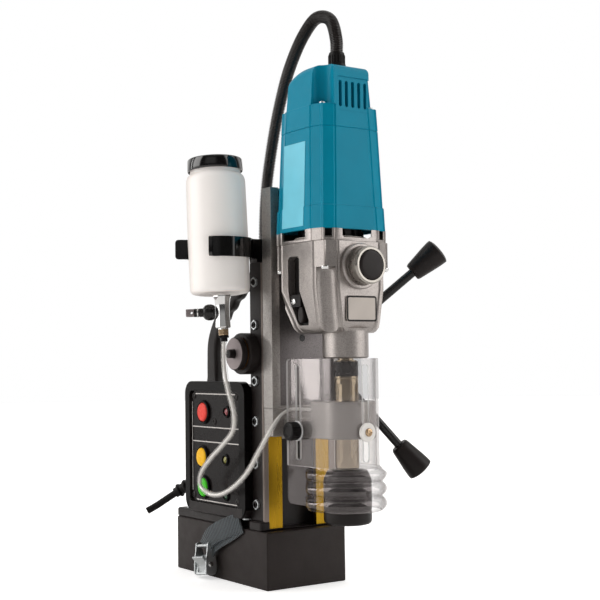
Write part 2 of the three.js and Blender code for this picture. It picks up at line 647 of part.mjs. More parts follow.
function buildGearbox() {
  const shell = loft(gearboxSections(0));
  const hollow = loft([...gearboxSections(gearbox.wall).slice(0, 3),
    { ...gearboxSections(gearbox.wall)[3], z: gearbox.top + 1 }]);
  const snout = atSpindle(cylinder(neck.radius, neck.bottom, gearbox.bottom + 4));
  const mountPad = block([-30, 30], [gearbox.back - 3, slide.front + 5 - GAP], [318, gearbox.top]);
  const shaftBore = atSpindle(cylinder(8.3, neck.bottom - 1, gearbox.bottom + 9, 16));
  const stepRing = aboutSelector(cylinder(selector.ringRadius, -gearbox.front - 2, -gearbox.front + 5));
  const collar = aboutSelector(cylinder(selector.collarRadius, -gearbox.front, -gearbox.front + 16));
  const selectorBore = aboutSelector(cylinder(6.3, -gearbox.front - 6, -gearbox.front + 17, 16));
  const window = prism('x', roundedRect(-158, -130, 275, 346, 3), -gearbox.halfX - 2, -gearbox.halfX + 2.5);
  const housing = cut(join(cut(shell, hollow), snout, mountPad, stepRing, collar),
    shaftBore, selectorBore, window);
  place('gearbox_housing', housing, silverPaint());

  const lidOutline = polygon(ring(-44.5, 44.5, motor.y - 46, motor.y + 44, 12));
  const airOutline = polygon(ring(-40, 40, motor.y - 42, motor.y + 40, 10));
  const lid = prism('z', lidOutline, gearbox.top, cover.top);
  const airRoom = prism('z', airOutline, gearbox.top + 4, cover.top + 1);
  const shaftHole = cylinder(6, gearbox.top - 1, cover.top + 1, 20).translate([0, motor.y, 0]);
  const ventZ = [gearbox.top + 4, cover.top + 1];
  const sideVents = block([-50, 50], [motor.y - 18, motor.y + 24], ventZ);
  const frontVent = block([-16, 16], [motor.y - 60, motor.y], ventZ);
  place('gearbox_cover', cut(lid, airRoom, shaftHole, sideVents, frontVent), silverPaint());

  const knob = join(
    cylinder(selector.capRadius, -gearbox.front + 16 + GAP, -selector.tip),
    cylinder(6, -gearbox.front - 9, -gearbox.front + 17, 16));
  place('selector_knob', aboutSelector(knob), blackPlastic());

  const plate = prism('y', roundedRect(-17, 21, 277, 306, 2), gearbox.front - 1.2, gearbox.front - 0.1);
  place('rating_plate', plate, finish(0xd8d2c8, 0.5, 0.2));
}

function buildGearTrain() {
  const towardLay = Math.atan2(lay.y - motor.y, lay.x);
  const towardSpindle = Math.atan2(spindle.y - lay.y, -lay.x);
  const layMesh = towardLay + Math.PI + Math.PI / layGearTeeth;
  const spindleMesh = towardSpindle + Math.PI + Math.PI / spindleGearTeeth;

  const gear = (teeth, module, toothAngle, [bottom, top], extra = 0) =>
    prism('z', gearShape(teeth, module, toothAngle), bottom - extra, top + extra);
  const motorPinion = gear(armatureTeeth, fastModule, towardLay, train.fastZ, 1);
  const rotor = turned([
    [0, 334], [2.6, 334], [2.6, 350], [5, 351], [5, 375], [30, 376], [30, 386], [8, 388], [8, 394],
    [21, 394], [21, 454], [8, 455], [8, 468], [13, 469], [13, 488], [5, 489], [5, 512], [0, 512],
  ], 16);
  place('armature', join(rotor, motorPinion).translate([0, motor.y, 0]), steel());

  const bigGear = gear(layGearTeeth, fastModule, layMesh, train.fastZ);
  const smallGear = gear(layPinionTeeth, slowModule, towardSpindle, train.slowZ, 1);
  const layShaft = cylinder(3.5, 283, 352, 16);
  place('lay_gear', join(bigGear, smallGear, layShaft).translate([lay.x, lay.y, 0]), steel());

  const drivenGear = gear(spindleGearTeeth, slowModule, spindleMesh, train.slowZ);
  place('spindle_gear', atSpindle(cut(drivenGear, cylinder(8.3, 280, 320))), steel());

  const shaft = turned([
    [0, spindle.bottom - 12], [6, spindle.bottom - 12], [6, spindle.bottom + 2],
    [spindle.radius, spindle.bottom + 2], [spindle.radius, 223], [11.2, 223], [11.2, neck.bottom - 2],
    [8, neck.bottom - 2], [8, 322], [0, 322],
  ]);
  place('spindle_shaft', atSpindle(shaft), steel());
  const arbor = turned([
    [0, 73], [22, 73], [24.6, 77], [24.6, 121], [20, spindle.bottom + 1], [6.2, spindle.bottom + 1],
    [6.2, spindle.bottom - 12.3], [0, spindle.bottom - 12.3],
  ], 24);
  place('arbor_holder', atSpindle(arbor), blackPlastic());
}

// ---------------------------------------------------------------- motor
function motorSection(z, half, radius = 14) {
  return { z, points: ring(-half, half, motor.y - half, motor.y + half, radius) };
}

function buildMotor() {
  const wall = 3;
  const inside = (z, half) => motorSection(z, half - wall, 12);
  const shell = cut(
    loft([motorSection(cover.top, motor.halfLow), motorSection(motor.jointZ, motor.halfHigh)]),
    loft([inside(cover.top - 1, motor.halfLow), inside(motor.jointZ + 1, motor.halfHigh)]));
  place('motor_housing', shell, tealPlastic());

  const dome = loft([
    motorSection(motor.jointZ, motor.halfHigh), motorSection(524, 37.5), motorSection(535, 33, 13),
    motorSection(motor.top, 26, 12),
  ]);
  const room = loft([
    inside(motor.jointZ - 1, motor.halfHigh), inside(524, 37.5), inside(motor.top - 4, 30),
  ]);
  const vents = [-2, -1, 0, 1, 2].map((i) =>
    block([i * 7 - 1.8, i * 7 + 1.8], [motor.y - 50, motor.y - 20], [492, 520]));
  const glandHole = cylinder(7.3, motor.top - 12, motor.top + 1, 20).translate([0, gland.y, 0]);
  place('motor_cap', cut(dome, room, ...vents, glandHole), tealPlastic());

  const stator = turned([[22, 392], [35, 392], [35, 456], [22, 456], [22, 392]]);
  place('stator', stator.translate([0, motor.y, 0]), copper());
}

// ---------------------------------------------------------------- conduit
function buildConduit() {
  const body = turned([
    [0, motor.top - 6], [7, motor.top - 6], [7, motor.top + GAP], [gland.radius, motor.top + GAP],
    [gland.radius, gland.top - 3], [8, gland.top], [0, gland.top],
  ], 14).translate([0, gland.y, 0]);
  place('conduit_gland', body, blackPlastic());
  const path = [
    [0, gland.y, gland.top + 1], [0, gland.y, 572], [0, -150, 596], [0, -126, 604], [0, -101, 591],
    [0, -76, 560], [0, -58, 523], [0, -43, 480], [0, -30, 430], [0, -24, 380], [0, conduitFootY, 340.4],
  ];
  place('cable_conduit', swept(path, circle(6.9), 24), rubber());
}

// ---------------------------------------------------------------- guard
function uBand(radius, back, thick, arcPoints = 12) {
  const run = (r, reverse) => {
    const arc = Array.from({ length: arcPoints + 1 }, (_, i) => {
      const angle = -Math.PI * i / arcPoints;
      return [r * Math.cos(angle), spindle.y + r * Math.sin(angle)];
    });
    const path = [[r, back], ...arc, [-r, back]];
    return reverse ? path.reverse() : path;
  };
  return [...run(radius - thick, false), ...run(radius, true)];
}

function buildGuard() {
  const front = guard.radius;
  const outline = uBand(front, guard.back, guard.thick);
  const shield = loft([{ z: guard.bottom, points: outline }, { z: guard.top, points: outline }]);
  const slotShape = (centre) =>
    roundedRect(centre - slot.half, centre + slot.half, slot.bottom, slot.top, slot.half - 0.1);
  const inner = front - guard.thick;
  const sideSlot = prism('x', slotShape(slot.y), -front - 2, -inner + 2);
  const frontSlot = prism('y', slotShape(0), spindle.y - front - 2, spindle.y - inner + 2);
  place('chip_guard', cut(shield, sideSlot, frontSlot), clearPlastic());

  const levels = 9;
  const sections = Array.from({ length: levels + 1 }, (_, i) => {
    const z = skirt.bottom + (guard.bottom - skirt.bottom) * i / levels;
    const swell = skirt.wave * Math.sin(2 * Math.PI * skirt.rings * (i / levels) - Math.PI / 2);
    return { z, points: uBand(skirt.reach + swell, guard.back - 2, 2.2, 10) };
  });
  place('guard_skirt', loft(sections), clearPlastic());

  const washerX = -front - 3;
  const grip = cylinder(9.5, washerX - 12, washerX);
  const stud = cylinder(3, washerX - 1, -bracket.nose + 8, 12);
  const knob = alongX(join(grip, stud));
  place('guard_knob', knob.translate([0, slot.y, clampZ]), blackPlastic());
  const washer = cylinder(9.7, front + GAP, front + 2.5);
  const screwHead = cylinder(4, front + 2, front + 5, 12);
  const screwShank = cylinder(2.5, 24, front + 3, 12);
  const screw = alongY(join(washer, screwHead, screwShank));
  place('guard_screw', atSpindle(screw.translate([0, 0, clampZ])), finish(0xf0f0ee, 0.4, 0));
}

buildMagnet();
buildFrame();
buildHandle();
buildPinionBearings();
buildPanel();
buildCord();
buildStrap();
buildBuckle();
buildBottle();
buildClip();
buildHose();
buildCapstan();
buildSlide();
buildBracket();
buildGearbox();
buildGearTrain();
buildMotor();
buildConduit();
buildGuard();

export default machine;
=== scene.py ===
"""A magnetic drill press: fine surfaces, materials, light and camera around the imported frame."""
import math

import bmesh
import bpy
from mathutils import Matrix, Vector


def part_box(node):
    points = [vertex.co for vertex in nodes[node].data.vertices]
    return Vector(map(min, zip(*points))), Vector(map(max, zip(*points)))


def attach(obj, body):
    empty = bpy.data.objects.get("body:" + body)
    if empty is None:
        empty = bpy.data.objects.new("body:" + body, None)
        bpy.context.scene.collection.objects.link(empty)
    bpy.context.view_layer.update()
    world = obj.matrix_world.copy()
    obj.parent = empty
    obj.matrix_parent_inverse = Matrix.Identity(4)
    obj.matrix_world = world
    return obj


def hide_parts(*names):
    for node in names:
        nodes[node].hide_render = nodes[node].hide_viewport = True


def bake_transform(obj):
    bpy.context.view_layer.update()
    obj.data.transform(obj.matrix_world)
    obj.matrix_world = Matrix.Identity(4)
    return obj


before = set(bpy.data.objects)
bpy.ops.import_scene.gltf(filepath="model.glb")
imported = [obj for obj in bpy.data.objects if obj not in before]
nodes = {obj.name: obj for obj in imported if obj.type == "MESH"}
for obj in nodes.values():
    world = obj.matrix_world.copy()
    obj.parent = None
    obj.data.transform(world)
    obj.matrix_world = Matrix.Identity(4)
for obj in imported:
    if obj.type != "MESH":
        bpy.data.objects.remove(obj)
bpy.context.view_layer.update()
scene = bpy.context.scene

MM = 0.001
X = Vector((1, 0, 0))
Y = Vector((0, 1, 0))
Z = Vector((0, 0, 1))


class Box:
    """A CAD node's extent at rest, in millimetres."""

    def __init__(self, node):
        low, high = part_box(node)
        self.low = Vector(low) / MM
        self.high = Vector(high) / MM
        self.mid = (self.low + self.high) / 2
        self.size = self.high - self.low


# ------------------------------------------------------------------ shapes, in millimetres
class Shape:
    """Points and the faces that join them."""

    def __init__(self, points=(), faces=()):
        self.points = [Vector(p) for p in points]
        self.faces = [tuple(f) for f in faces]

    def __add__(self, other):
        shift = len(self.points)
        moved = [tuple(i + shift for i in face) for face in other.faces]
        return Shape(self.points + other.points, self.faces + moved)

    def placed(self, matrix):
        return Shape([matrix @ p for p in self.points], self.faces)

    def moved(self, x=0.0, y=0.0, z=0.0):
        return self.placed(Matrix.Translation((x, y, z)))

    def turned(self, axis, degrees):
        return self.placed(Matrix.Rotation(math.radians(degrees), 4, axis))


def together(shapes):
    return sum(shapes, Shape())


def arc(u, v, radius, start, end, steps):
    """Points on a circle about (u, v), between two angles in degrees."""
    angles = [math.radians(start + (end - start) * i / steps) for i in range(steps + 1)]
    return [(u + radius * math.cos(a), v + radius * math.sin(a)) for a in angles]


def circle(radius, steps):
    return arc(0, 0, radius, 0, 360, steps)[:-1]


def rounded(u0, u1, v0, v1, radius, steps=6):
    """A rectangle with round corners."""
    corners = [(u1 - radius, v0 + radius), (u1 - radius, v1 - radius),
               (u0 + radius, v1 - radius), (u0 + radius, v0 + radius)]
    outline = []
    for i, (u, v) in enumerate(corners):
        outline += arc(u, v, radius, 90 * i - 90, 90 * i, steps)
    return outline


ALONG = {
    "x": lambda u, v, w: (w, u, v),
    "y": lambda u, v, w: (u, w, v),
    "z": lambda u, v, w: (u, v, w),
}


def flat(axis, outline, w):
    """An outline laid in the plane across an axis."""
    return [ALONG[axis](u, v, w) for u, v in outline]


def loft(rings, closed=False):
    """Skin over rings with equal numbers of points; the ends are capped unless it closes on itself."""
    count = len(rings[0])
    levels = len(rings)
    points = [p for ring in rings for p in ring]
    faces = []
    for level in range(levels if closed else levels - 1):
        first = level * count
        second = (level + 1) % levels * count
        for i in range(count):
            j = (i + 1) % count
            faces.append((first + i, first + j, second + j, second + i))
    if not closed:
        faces.append(tuple(range(count)))
        faces.append(tuple(range(len(points) - count, len(points))))
    return Shape(points, faces)


def prism(axis, outline, low, high):
    return loft([flat(axis, outline, low), flat(axis, outline, high)])


def block(x, y, z):
    outline = [(x[0], y[0]), (x[1], y[0]), (x[1], y[1]), (x[0], y[1])]
    return prism("z", outline, z[0], z[1])


def turned(profile, steps, axis="z", at=(0, 0, 0), phase=0.0):
    """A surface of revolution from (radius, height) pairs, shut on the axis or closed on itself."""
    closed = profile[0] == profile[-1] and profile[0][0] > 0
    heights = profile[:-1] if closed else profile
    rings = []
    for radius, height in heights:
        outline = arc(0, 0, radius, phase, 360 + phase, steps)[:-1]
        rings.append([Vector(ALONG[axis](u, v, height)) + Vector(at) for u, v in outline])
    return loft(rings, closed)


def rod(radius, low, high, *how, **more):
    """A plain solid of revolution between two heights."""
    return turned([(0, low), (radius, low), (radius, high), (0, high)], *how, **more)


def spin(steps):
    """Equal angles round a circle, in radians."""
    return [2 * math.pi * i / steps for i in range(steps)]


def sheet(outer, inner):
    """A thin closed shell between two grids of points, each a list of rows."""
    rows = len(outer)
    columns = len(outer[0])
    points = [p for grid in (outer, inner) for row in grid for p in row]
    layer = rows * columns

    def index(row, column, side):
        return side * layer + row * columns + column

    faces = []
    for row in range(rows - 1):
        for column in range(columns - 1):
            quad = [(row, column), (row, column + 1), (row + 1, column + 1), (row + 1, column)]
            faces.append(tuple(index(r, c, 0) for r, c in quad))
            faces.append(tuple(index(r, c, 1) for r, c in reversed(quad)))
    rim = [(0, c) for c in range(columns)] + [(r, columns - 1) for r in range(1, rows)]
    rim += [(rows - 1, c) for c in range(columns - 2, -1, -1)] + [(r, 0) for r in range(rows - 2, 0, -1)]
    for (r0, c0), (r1, c1) in zip(rim, rim[1:] + rim[:1]):
        faces.append((index(r0, c0, 0), index(r1, c1, 0), index(r1, c1, 1), index(r0, c0, 1)))
    return Shape(points, faces)


def curve(controls, per_span):
    """A centripetal Catmull-Rom curve through the control points."""
    points = [Vector(p) for p in controls]
    points = [points[0] * 2 - points[1]] + points + [points[-1] * 2 - points[-2]]
    path = []
    for p0, p1, p2, p3 in zip(points, points[1:], points[2:], points[3:]):
        t0 = 0.0
        t1 = t0 + (p1 - p0).length ** 0.5
        t2 = t1 + (p2 - p1).length ** 0.5
        t3 = t2 + (p3 - p2).length ** 0.5
        for step in range(per_span):
            t = t1 + (t2 - t1) * step / per_span
            a1 = p0.lerp(p1, (t - t0) / (t1 - t0))
            a2 = p1.lerp(p2, (t - t1) / (t2 - t1))
            a3 = p2.lerp(p3, (t - t2) / (t3 - t2))
            b1 = a1.lerp(a2, (t - t0) / (t2 - t0))
            b2 = a2.lerp(a3, (t - t1) / (t3 - t1))
            path.append(b1.lerp(b2, (t - t1) / (t2 - t1)))
    path.append(points[-2])
    return path


def even(path, spacing):
    """The same path, walked in equal steps of about the given length."""
    lengths = [0.0]
    for a, b in zip(path, path[1:]):
        lengths.append(lengths[-1] + (b - a).length)
    count = max(2, round(lengths[-1] / spacing))
    walked = []
    span = 0
    for i in range(count + 1):
        target = lengths[-1] * i / count
        while span < len(path) - 2 and lengths[span + 1] < target:
            span += 1
        share = (target - lengths[span]) / (lengths[span + 1] - lengths[span])
        walked.append(path[span].lerp(path[span + 1], min(1.0, share)))
    return walked


def sweep(path, outline, up=Z):
    """Carries an outline along a path without twist. outline is one list or one for each point."""
    rings = []
    side = None
    for i, at in enumerate(path):
        heading = (path[min(i + 1, len(path) - 1)] - path[max(i - 1, 0)]).normalized()
        if side is None:
            side = heading.cross(up).normalized()
        side = (side - heading * side.dot(heading)).normalized()
        across = side.cross(heading)
        section = outline[i] if isinstance(outline[0], list) else outline
        rings.append([at + side * u + across * v for u, v in section])
    return loft(rings)


# ------------------------------------------------------------------ meshes and objects
def to_mesh(name, shape, scale=1.0, crease=None):
    mesh = bpy.data.meshes.new(name)
    mesh.from_pydata([p * scale for p in shape.points], [], shape.faces)
    work = bmesh.new()
    work.from_mesh(mesh)
    bmesh.ops.remove_doubles(work, verts=work.verts, dist=0.001 * scale)
    bmesh.ops.recalc_face_normals(work, faces=work.faces)
    if crease is not None:
        limit = math.radians(crease)
        for face in work.faces:
            face.smooth = True
        for edge in work.edges:
            edge.smooth = len(edge.link_faces) == 2 and edge.calc_face_angle(0) < limit
    work.to_mesh(mesh)
    work.free()
    return mesh


def carve(shape, tools, operation="DIFFERENCE"):
    """Cuts tools from a shape, or joins them to it."""
    base = bpy.data.objects.new("base", to_mesh("base", shape))
    scene.collection.objects.link(base)
    extras = [base]
    for tool in tools:
        other = bpy.data.objects.new("tool", to_mesh("tool", tool))
        scene.collection.objects.link(other)
        modifier = base.modifiers.new("cut", "BOOLEAN")
        modifier.operation = operation
        modifier.solver = "EXACT"
        modifier.object = other
        extras.append(other)
    bpy.context.view_layer.update()
    result = base.evaluated_get(bpy.context.evaluated_depsgraph_get()).data
    points = [v.co.copy() for v in result.vertices]
    faces = [tuple(polygon.vertices) for polygon in result.polygons]
    for extra in extras:
        bpy.data.objects.remove(extra)
    return Shape(points, faces)


def join(shape, *others):
    return carve(shape, others, "UNION")


def round_edges(thing, width, segments, limit=35):
    modifier = thing.modifiers.new("round", "BEVEL")
    modifier.width = width * MM
    modifier.segments = segments
    modifier.limit_method = "ANGLE"
    modifier.angle_limit = math.radians(limit)
    modifier.harden_normals = True
    modifier.use_clamp_overlap = True


def piece(name, shape, paint, body="frame", node=None, slot=None, bevel=0.0, segments=2, crease=35):
    """A finished piece that rides on a body and may stand for a CAD node. The slot argument is not used."""
    mesh = to_mesh(name, shape, MM, crease)
    mesh.materials.append(PAINT[paint])
    thing = bpy.data.objects.new(name, mesh)
    scene.collection.objects.link(thing)
    if bevel:
        round_edges(thing, bevel, segments, crease)
    if body:
        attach(thing, body)
    if node:
        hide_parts(node)
    slot or paint
    return thing


def keep(node, paint, bevel, segments=2):
    """A CAD node that stays on show: its own shape with a finish, merged facets and rounded edges."""
    thing = nodes[node]
    mesh = thing.data
    if "custom_normal" in mesh.attributes:
        mesh.attributes.remove(mesh.attributes["custom_normal"])
    mesh.materials.clear()
    mesh.materials.append(PAINT[paint])
    mesh.polygons.foreach_set("use_smooth", [True] * len(mesh.polygons))
    weld = thing.modifiers.new("weld", "WELD")
    weld.merge_threshold = 0.001 * MM
    merge = thing.modifiers.new("merge", "DECIMATE")
    merge.decimate_type = "DISSOLVE"
    merge.angle_limit = math.radians(1.0)
    round_edges(thing, bevel, segments)


# ------------------------------------------------------------------ materials
def tone(code):
    """A linear colour from a hexadecimal display colour."""
    shares = [int(code[i:i + 2], 16) / 255 for i in (0, 2, 4)]
    return [((s + 0.055) / 1.055) ** 2.4 if s > 0.04045 else s / 12.92 for s in shares] + [1.0]


def scaled(colour, share):
    return [c * share for c in colour[:3]] + [1.0]


class Wiring:
    """Short ways to add nodes to a tree."""

    def __init__(self, tree):
        self.tree = tree

    def put(self, value, socket):
        if isinstance(value, bpy.types.NodeSocket):
            self.tree.links.new(value, socket)
        else:
            socket.default_value = value

    def add(self, kind, inputs=None, **settings):
        node = self.tree.nodes.new(kind)
        for key, value in settings.items():
            setattr(node, key, value)
        for key, value in (inputs or {}).items():
            self.put(value, node.inputs[key])
        return node

    def maths(self, operation, a, b):
        return self.add("ShaderNodeMath", {0: a, 1: b}, operation=operation).outputs[0]


class Paint(Wiring):
    """A procedural material, built step by step. Sizes are in millimetres."""

    def __init__(self, name, colour, rough, metal=0.0, **extra):
        self.material = bpy.data.materials.new(name)
        self.material.use_nodes = True
        super().__init__(self.material.node_tree)
        self.shader = self.tree.nodes["Principled BSDF"]
        self.place = self.add("ShaderNodeTexCoord").outputs["Object"]
        self.base = tone(colour)
        self.colour = self.base
        self.rough = rough
        self.normal = None
        self.put(metal, self.shader.inputs["Metallic"])
        for key, value in extra.items():
            self.put(value, self.shader.inputs[key.replace("_", " ")])

    def scaled_place(self, size, stretch=(1, 1, 1)):
        scale = [1 / (size * MM * s) for s in stretch]
        return self.add("ShaderNodeMapping", {"Vector": self.place, "Scale": scale}).outputs[0]

    def noise(self, size, detail, stretch=(1, 1, 1)):
        at = self.scaled_place(size, stretch)
        return self.add("ShaderNodeTexNoise", {"Vector": at, "Scale": 1.0, "Detail": detail}).outputs[0]

    def cells(self, size):
        at = self.scaled_place(size, (1, 1, 1))
        node = self.add("ShaderNodeTexVoronoi", {"Vector": at, "Scale": 1.0}, feature="SMOOTH_F1")
        return node.outputs["Distance"]

    def level(self, value, low, high, start=0.0, end=1.0):
        inputs = {"Value": value, "From Min": low, "From Max": high, "To Min": start, "To Max": end}
        return self.add("ShaderNodeMapRange", inputs).outputs[0]

    def mix(self, share, first, second):
        node = self.add("ShaderNodeMix", data_type="RGBA")
        self.put(share, node.inputs[0])
        self.put(first, node.inputs[6])
        self.put(second, node.inputs[7])
        return node.outputs[2]

    def mottle(self, size, amount, detail=3.0, stretch=(1, 1, 1)):
        """Uneven colour: patches a little darker and lighter than the base."""
        share = self.level(self.noise(size, detail, stretch), 0.3, 0.7)
        dark = self.add("ShaderNodeMix", data_type="RGBA", blend_type="MULTIPLY")
        self.put(share, dark.inputs[0])
        self.put(self.colour, dark.inputs[6])
        self.put([1 - amount] * 3 + [1.0], dark.inputs[7])
        self.colour = dark.outputs[2]
        return self

    def sheen(self, size, spread, stretch=(1, 1, 1)):
        """Uneven roughness, as from handling."""
        noise = self.noise(size, 3.0, stretch)
        self.rough = self.level(noise, 0.3, 0.7, self.rough - spread, self.rough + spread)
        return self

    def relief(self, height, depth):
        inputs = {"Strength": 1.0, "Distance": depth * MM, "Height": height}
        if self.normal is not None:
            inputs["Normal"] = self.normal
        self.normal = self.add("ShaderNodeBump", inputs).outputs[0]
        return self

    def grain(self, size, depth, detail=2.0, stretch=(1, 1, 1)):
        return self.relief(self.noise(size, detail, stretch), depth)

    def hammer(self, size, depth):
        """Hammered enamel: small round dimples; the colour darkens towards the grooves between their crowns,
        a painted shade in the hollows.
        """
        cells = self.cells(size)
        # painted shade: the colour darkens towards the low grooves between the cells
        self.colour = self.mix(self.level(cells, 0.15, 0.7, 0.0, 0.5), self.colour, scaled(self.base, 0.4))
        return self.relief(cells, -depth)

    def worn(self, code, width, amount):
        """Rubbed edges: bare colour where the surface turns sharply."""
        soft = self.add("ShaderNodeBevel", {"Radius": width * MM}, samples=4).outputs[0]
        plain = self.add("ShaderNodeNewGeometry").outputs["Normal"]
        facing = self.add("ShaderNodeVectorMath", {0: soft, 1: plain}, operation="DOT_PRODUCT")
        edge = self.level(facing.outputs["Value"], 0.99, 0.86)
        patchy = self.level(self.noise(3.0, 4.0), 0.35, 0.6, 0.0, amount)
        share = self.maths("MULTIPLY", edge, patchy)
        self.colour = self.mix(share, self.colour, tone(code))
        return self

    def done(self):
        self.put(self.colour, self.shader.inputs["Base Color"])
        self.put(self.rough, self.shader.inputs["Roughness"])
        if self.normal is not None:
            self.put(self.normal, self.shader.inputs["Normal"])
        return self.material


def cast_paint(name, code, rough=0.42):
    """Semi-gloss enamel over sand-cast iron."""
    paint = Paint(name, code, rough, Specular_IOR_Level=0.22).mottle(30, 0.12).mottle(2.5, 0.08)
    return paint.sheen(14, 0.06).grain(1.6, 0.05, 3.0).grain(9, 0.12).worn("4d4644", 0.4, 0.5).done()


def ground_steel(name, code, rough, stretch):
    """Bare metal with fine grinding lines along one axis."""
    paint = Paint(name, code, rough, 1.0).mottle(12, 0.15, 3.0, stretch)
    return paint.sheen(4, 0.07, stretch).grain(0.5, 0.012, 2.0, stretch).done()


def hammered(name, code, size, depth, metal=0.8):
    """Silver hammer-finish enamel, with painted shade in the hammering's grooves, rubbed lighter on the
    edges.
    """
    paint = Paint(name, code, 0.36, metal).mottle(22, 0.1)
    return paint.hammer(size, depth).sheen(6, 0.05).worn("d2cdc8", 0.6, 0.4).done()


def plastic(name, code, rough, grain=0.012, size=0.7, specular=0.2):
    """Moulded plastic: a faint texture from the mould and slightly uneven gloss."""
    paint = Paint(name, code, rough, Specular_IOR_Level=specular).mottle(24, 0.07)
    return paint.sheen(10, 0.04).grain(size, grain).done()


def gloss(name, code):
    """Polished moulded plastic with very fine scuffs."""
    paint = Paint(name, code, 0.12, Coat_Weight=0.6, Coat_Roughness=0.05).mottle(18, 0.12)
    return paint.sheen(5, 0.03).grain(20, 0.015).done()


def mirror(name, code):
    """Bright chrome plate, with the slight waves of a polished casting."""
    return Paint(name, code, 0.07, 1.0).sheen(6, 0.03).grain(9, 0.03).done()


def turned_steel(name, code, rough, metal=1.0):
    """Lathe-turned metal: very fine rings along the axis, here Z."""
    paint = Paint(name, code, rough, metal).mottle(10, 0.1)
    return paint.sheen(7, 0.05).grain(0.7, 0.012, 1.0, (30, 30, 1)).done()


def woven(name, code, light):
    """Ribbed webbing, from the strap's own across and along coordinates in millimetres. The raised threads
    are painted lighter: a painted highlight on the ribs.
    """
    paint = Paint(name, code, 0.78, Sheen_Weight=0.4)
    at = paint.add("ShaderNodeUVMap", uv_map="weave").outputs[0]
    rib = paint.add("ShaderNodeTexWave", {"Vector": at, "Scale": 0.12, "Distortion": 0.5, "Detail": 1.0},
                    bands_direction="Y")
    yarn = paint.add("ShaderNodeTexWave", {"Vector": at, "Scale": 0.3, "Distortion": 0.4},
                     bands_direction="X")
    threads = paint.maths("MULTIPLY", rib.outputs[1], yarn.outputs[1])
    # painted highlight: the raised threads take the lighter colour
    paint.colour = paint.mix(paint.level(threads, 0.35, 0.95), tone(code), tone(light))
    return paint.relief(threads, 0.35).grain(0.3, 0.05).done()


def clear(name, code, haze, edge, rough=0.05, ripple=0.0, metal=0.7):
    """Clear plastic: see-through face on, mirror-like and whiter at a glance."""
    paint = Paint(name, code, rough, metal)
    paint.mottle(15, 0.06).sheen(8, 0.02)
    if ripple:
        paint.grain(9, ripple, 1.0)
    glance = paint.add("ShaderNodeLayerWeight", {"Blend": 0.15}).outputs["Facing"]
    solid = paint.level(glance, 0.1, 0.8, haze, edge)
    paint.put(solid, paint.shader.inputs["Alpha"])
    return paint.done()


def milky(name, code):
    """Translucent blow-moulded polyethylene, with a painted glow for light through its wall and painted shade
    towards its outline.
    """
    # painted glow: a faint emission stands for light coming through the wall; the bottle is no lamp
    paint = Paint(name, code, 0.38, Subsurface_Weight=0.1, Subsurface_Scale=0.002,
                  Subsurface_Radius=(1.0, 1.0, 1.0), Emission_Color=tone("f4ede8"), Emission_Strength=0.13)
    # painted shade: the colour darkens where the surface turns away from view, towards the outline
    glance = paint.add("ShaderNodeLayerWeight", {"Blend": 0.4}).outputs["Facing"]
    paint.colour = paint.mix(paint.level(glance, 0.35, 1.0), paint.base, tone("b8ada6"))
    paint.mottle(45, 0.05).sheen(12, 0.05).grain(2.2, 0.02).grain(30, 0.25)
    return paint.done()


def lens(name, code):
    """A coloured lamp lens with fine ribs inside."""
    paint = Paint(name, code, 0.12, Coat_Weight=0.8, Transmission_Weight=0.15)
    return paint.mottle(1.2, 0.35).grain(0.8, 0.05).done()


def board_green(name, code):
    """A circuit board: solder mask with faint copper tracks under it."""
    paint = Paint(name, code, 0.35)
    at = paint.scaled_place(7)
    tracks = paint.add("ShaderNodeTexBrick", {"Vector": at, "Scale": 1.0, "Mortar Size": 0.03})
    paint.colour = paint.mix(tracks.outputs["Fac"], paint.base, tone("3f8a4c"))
    return paint.mottle(10, 0.1).grain(0.8, 0.02).done()


def wound(name, code):
    """Lacquered copper wire, wound in fine turns."""
    paint = Paint(name, code, 0.32, 0.9).mottle(6, 0.2)
    at = paint.scaled_place(0.9)
    turns = paint.add("ShaderNodeTexWave", {"Vector": at, "Scale": 0.5, "Distortion": 0.3},
                      bands_direction="Z")
    return paint.relief(turns.outputs[1], 0.2).done()


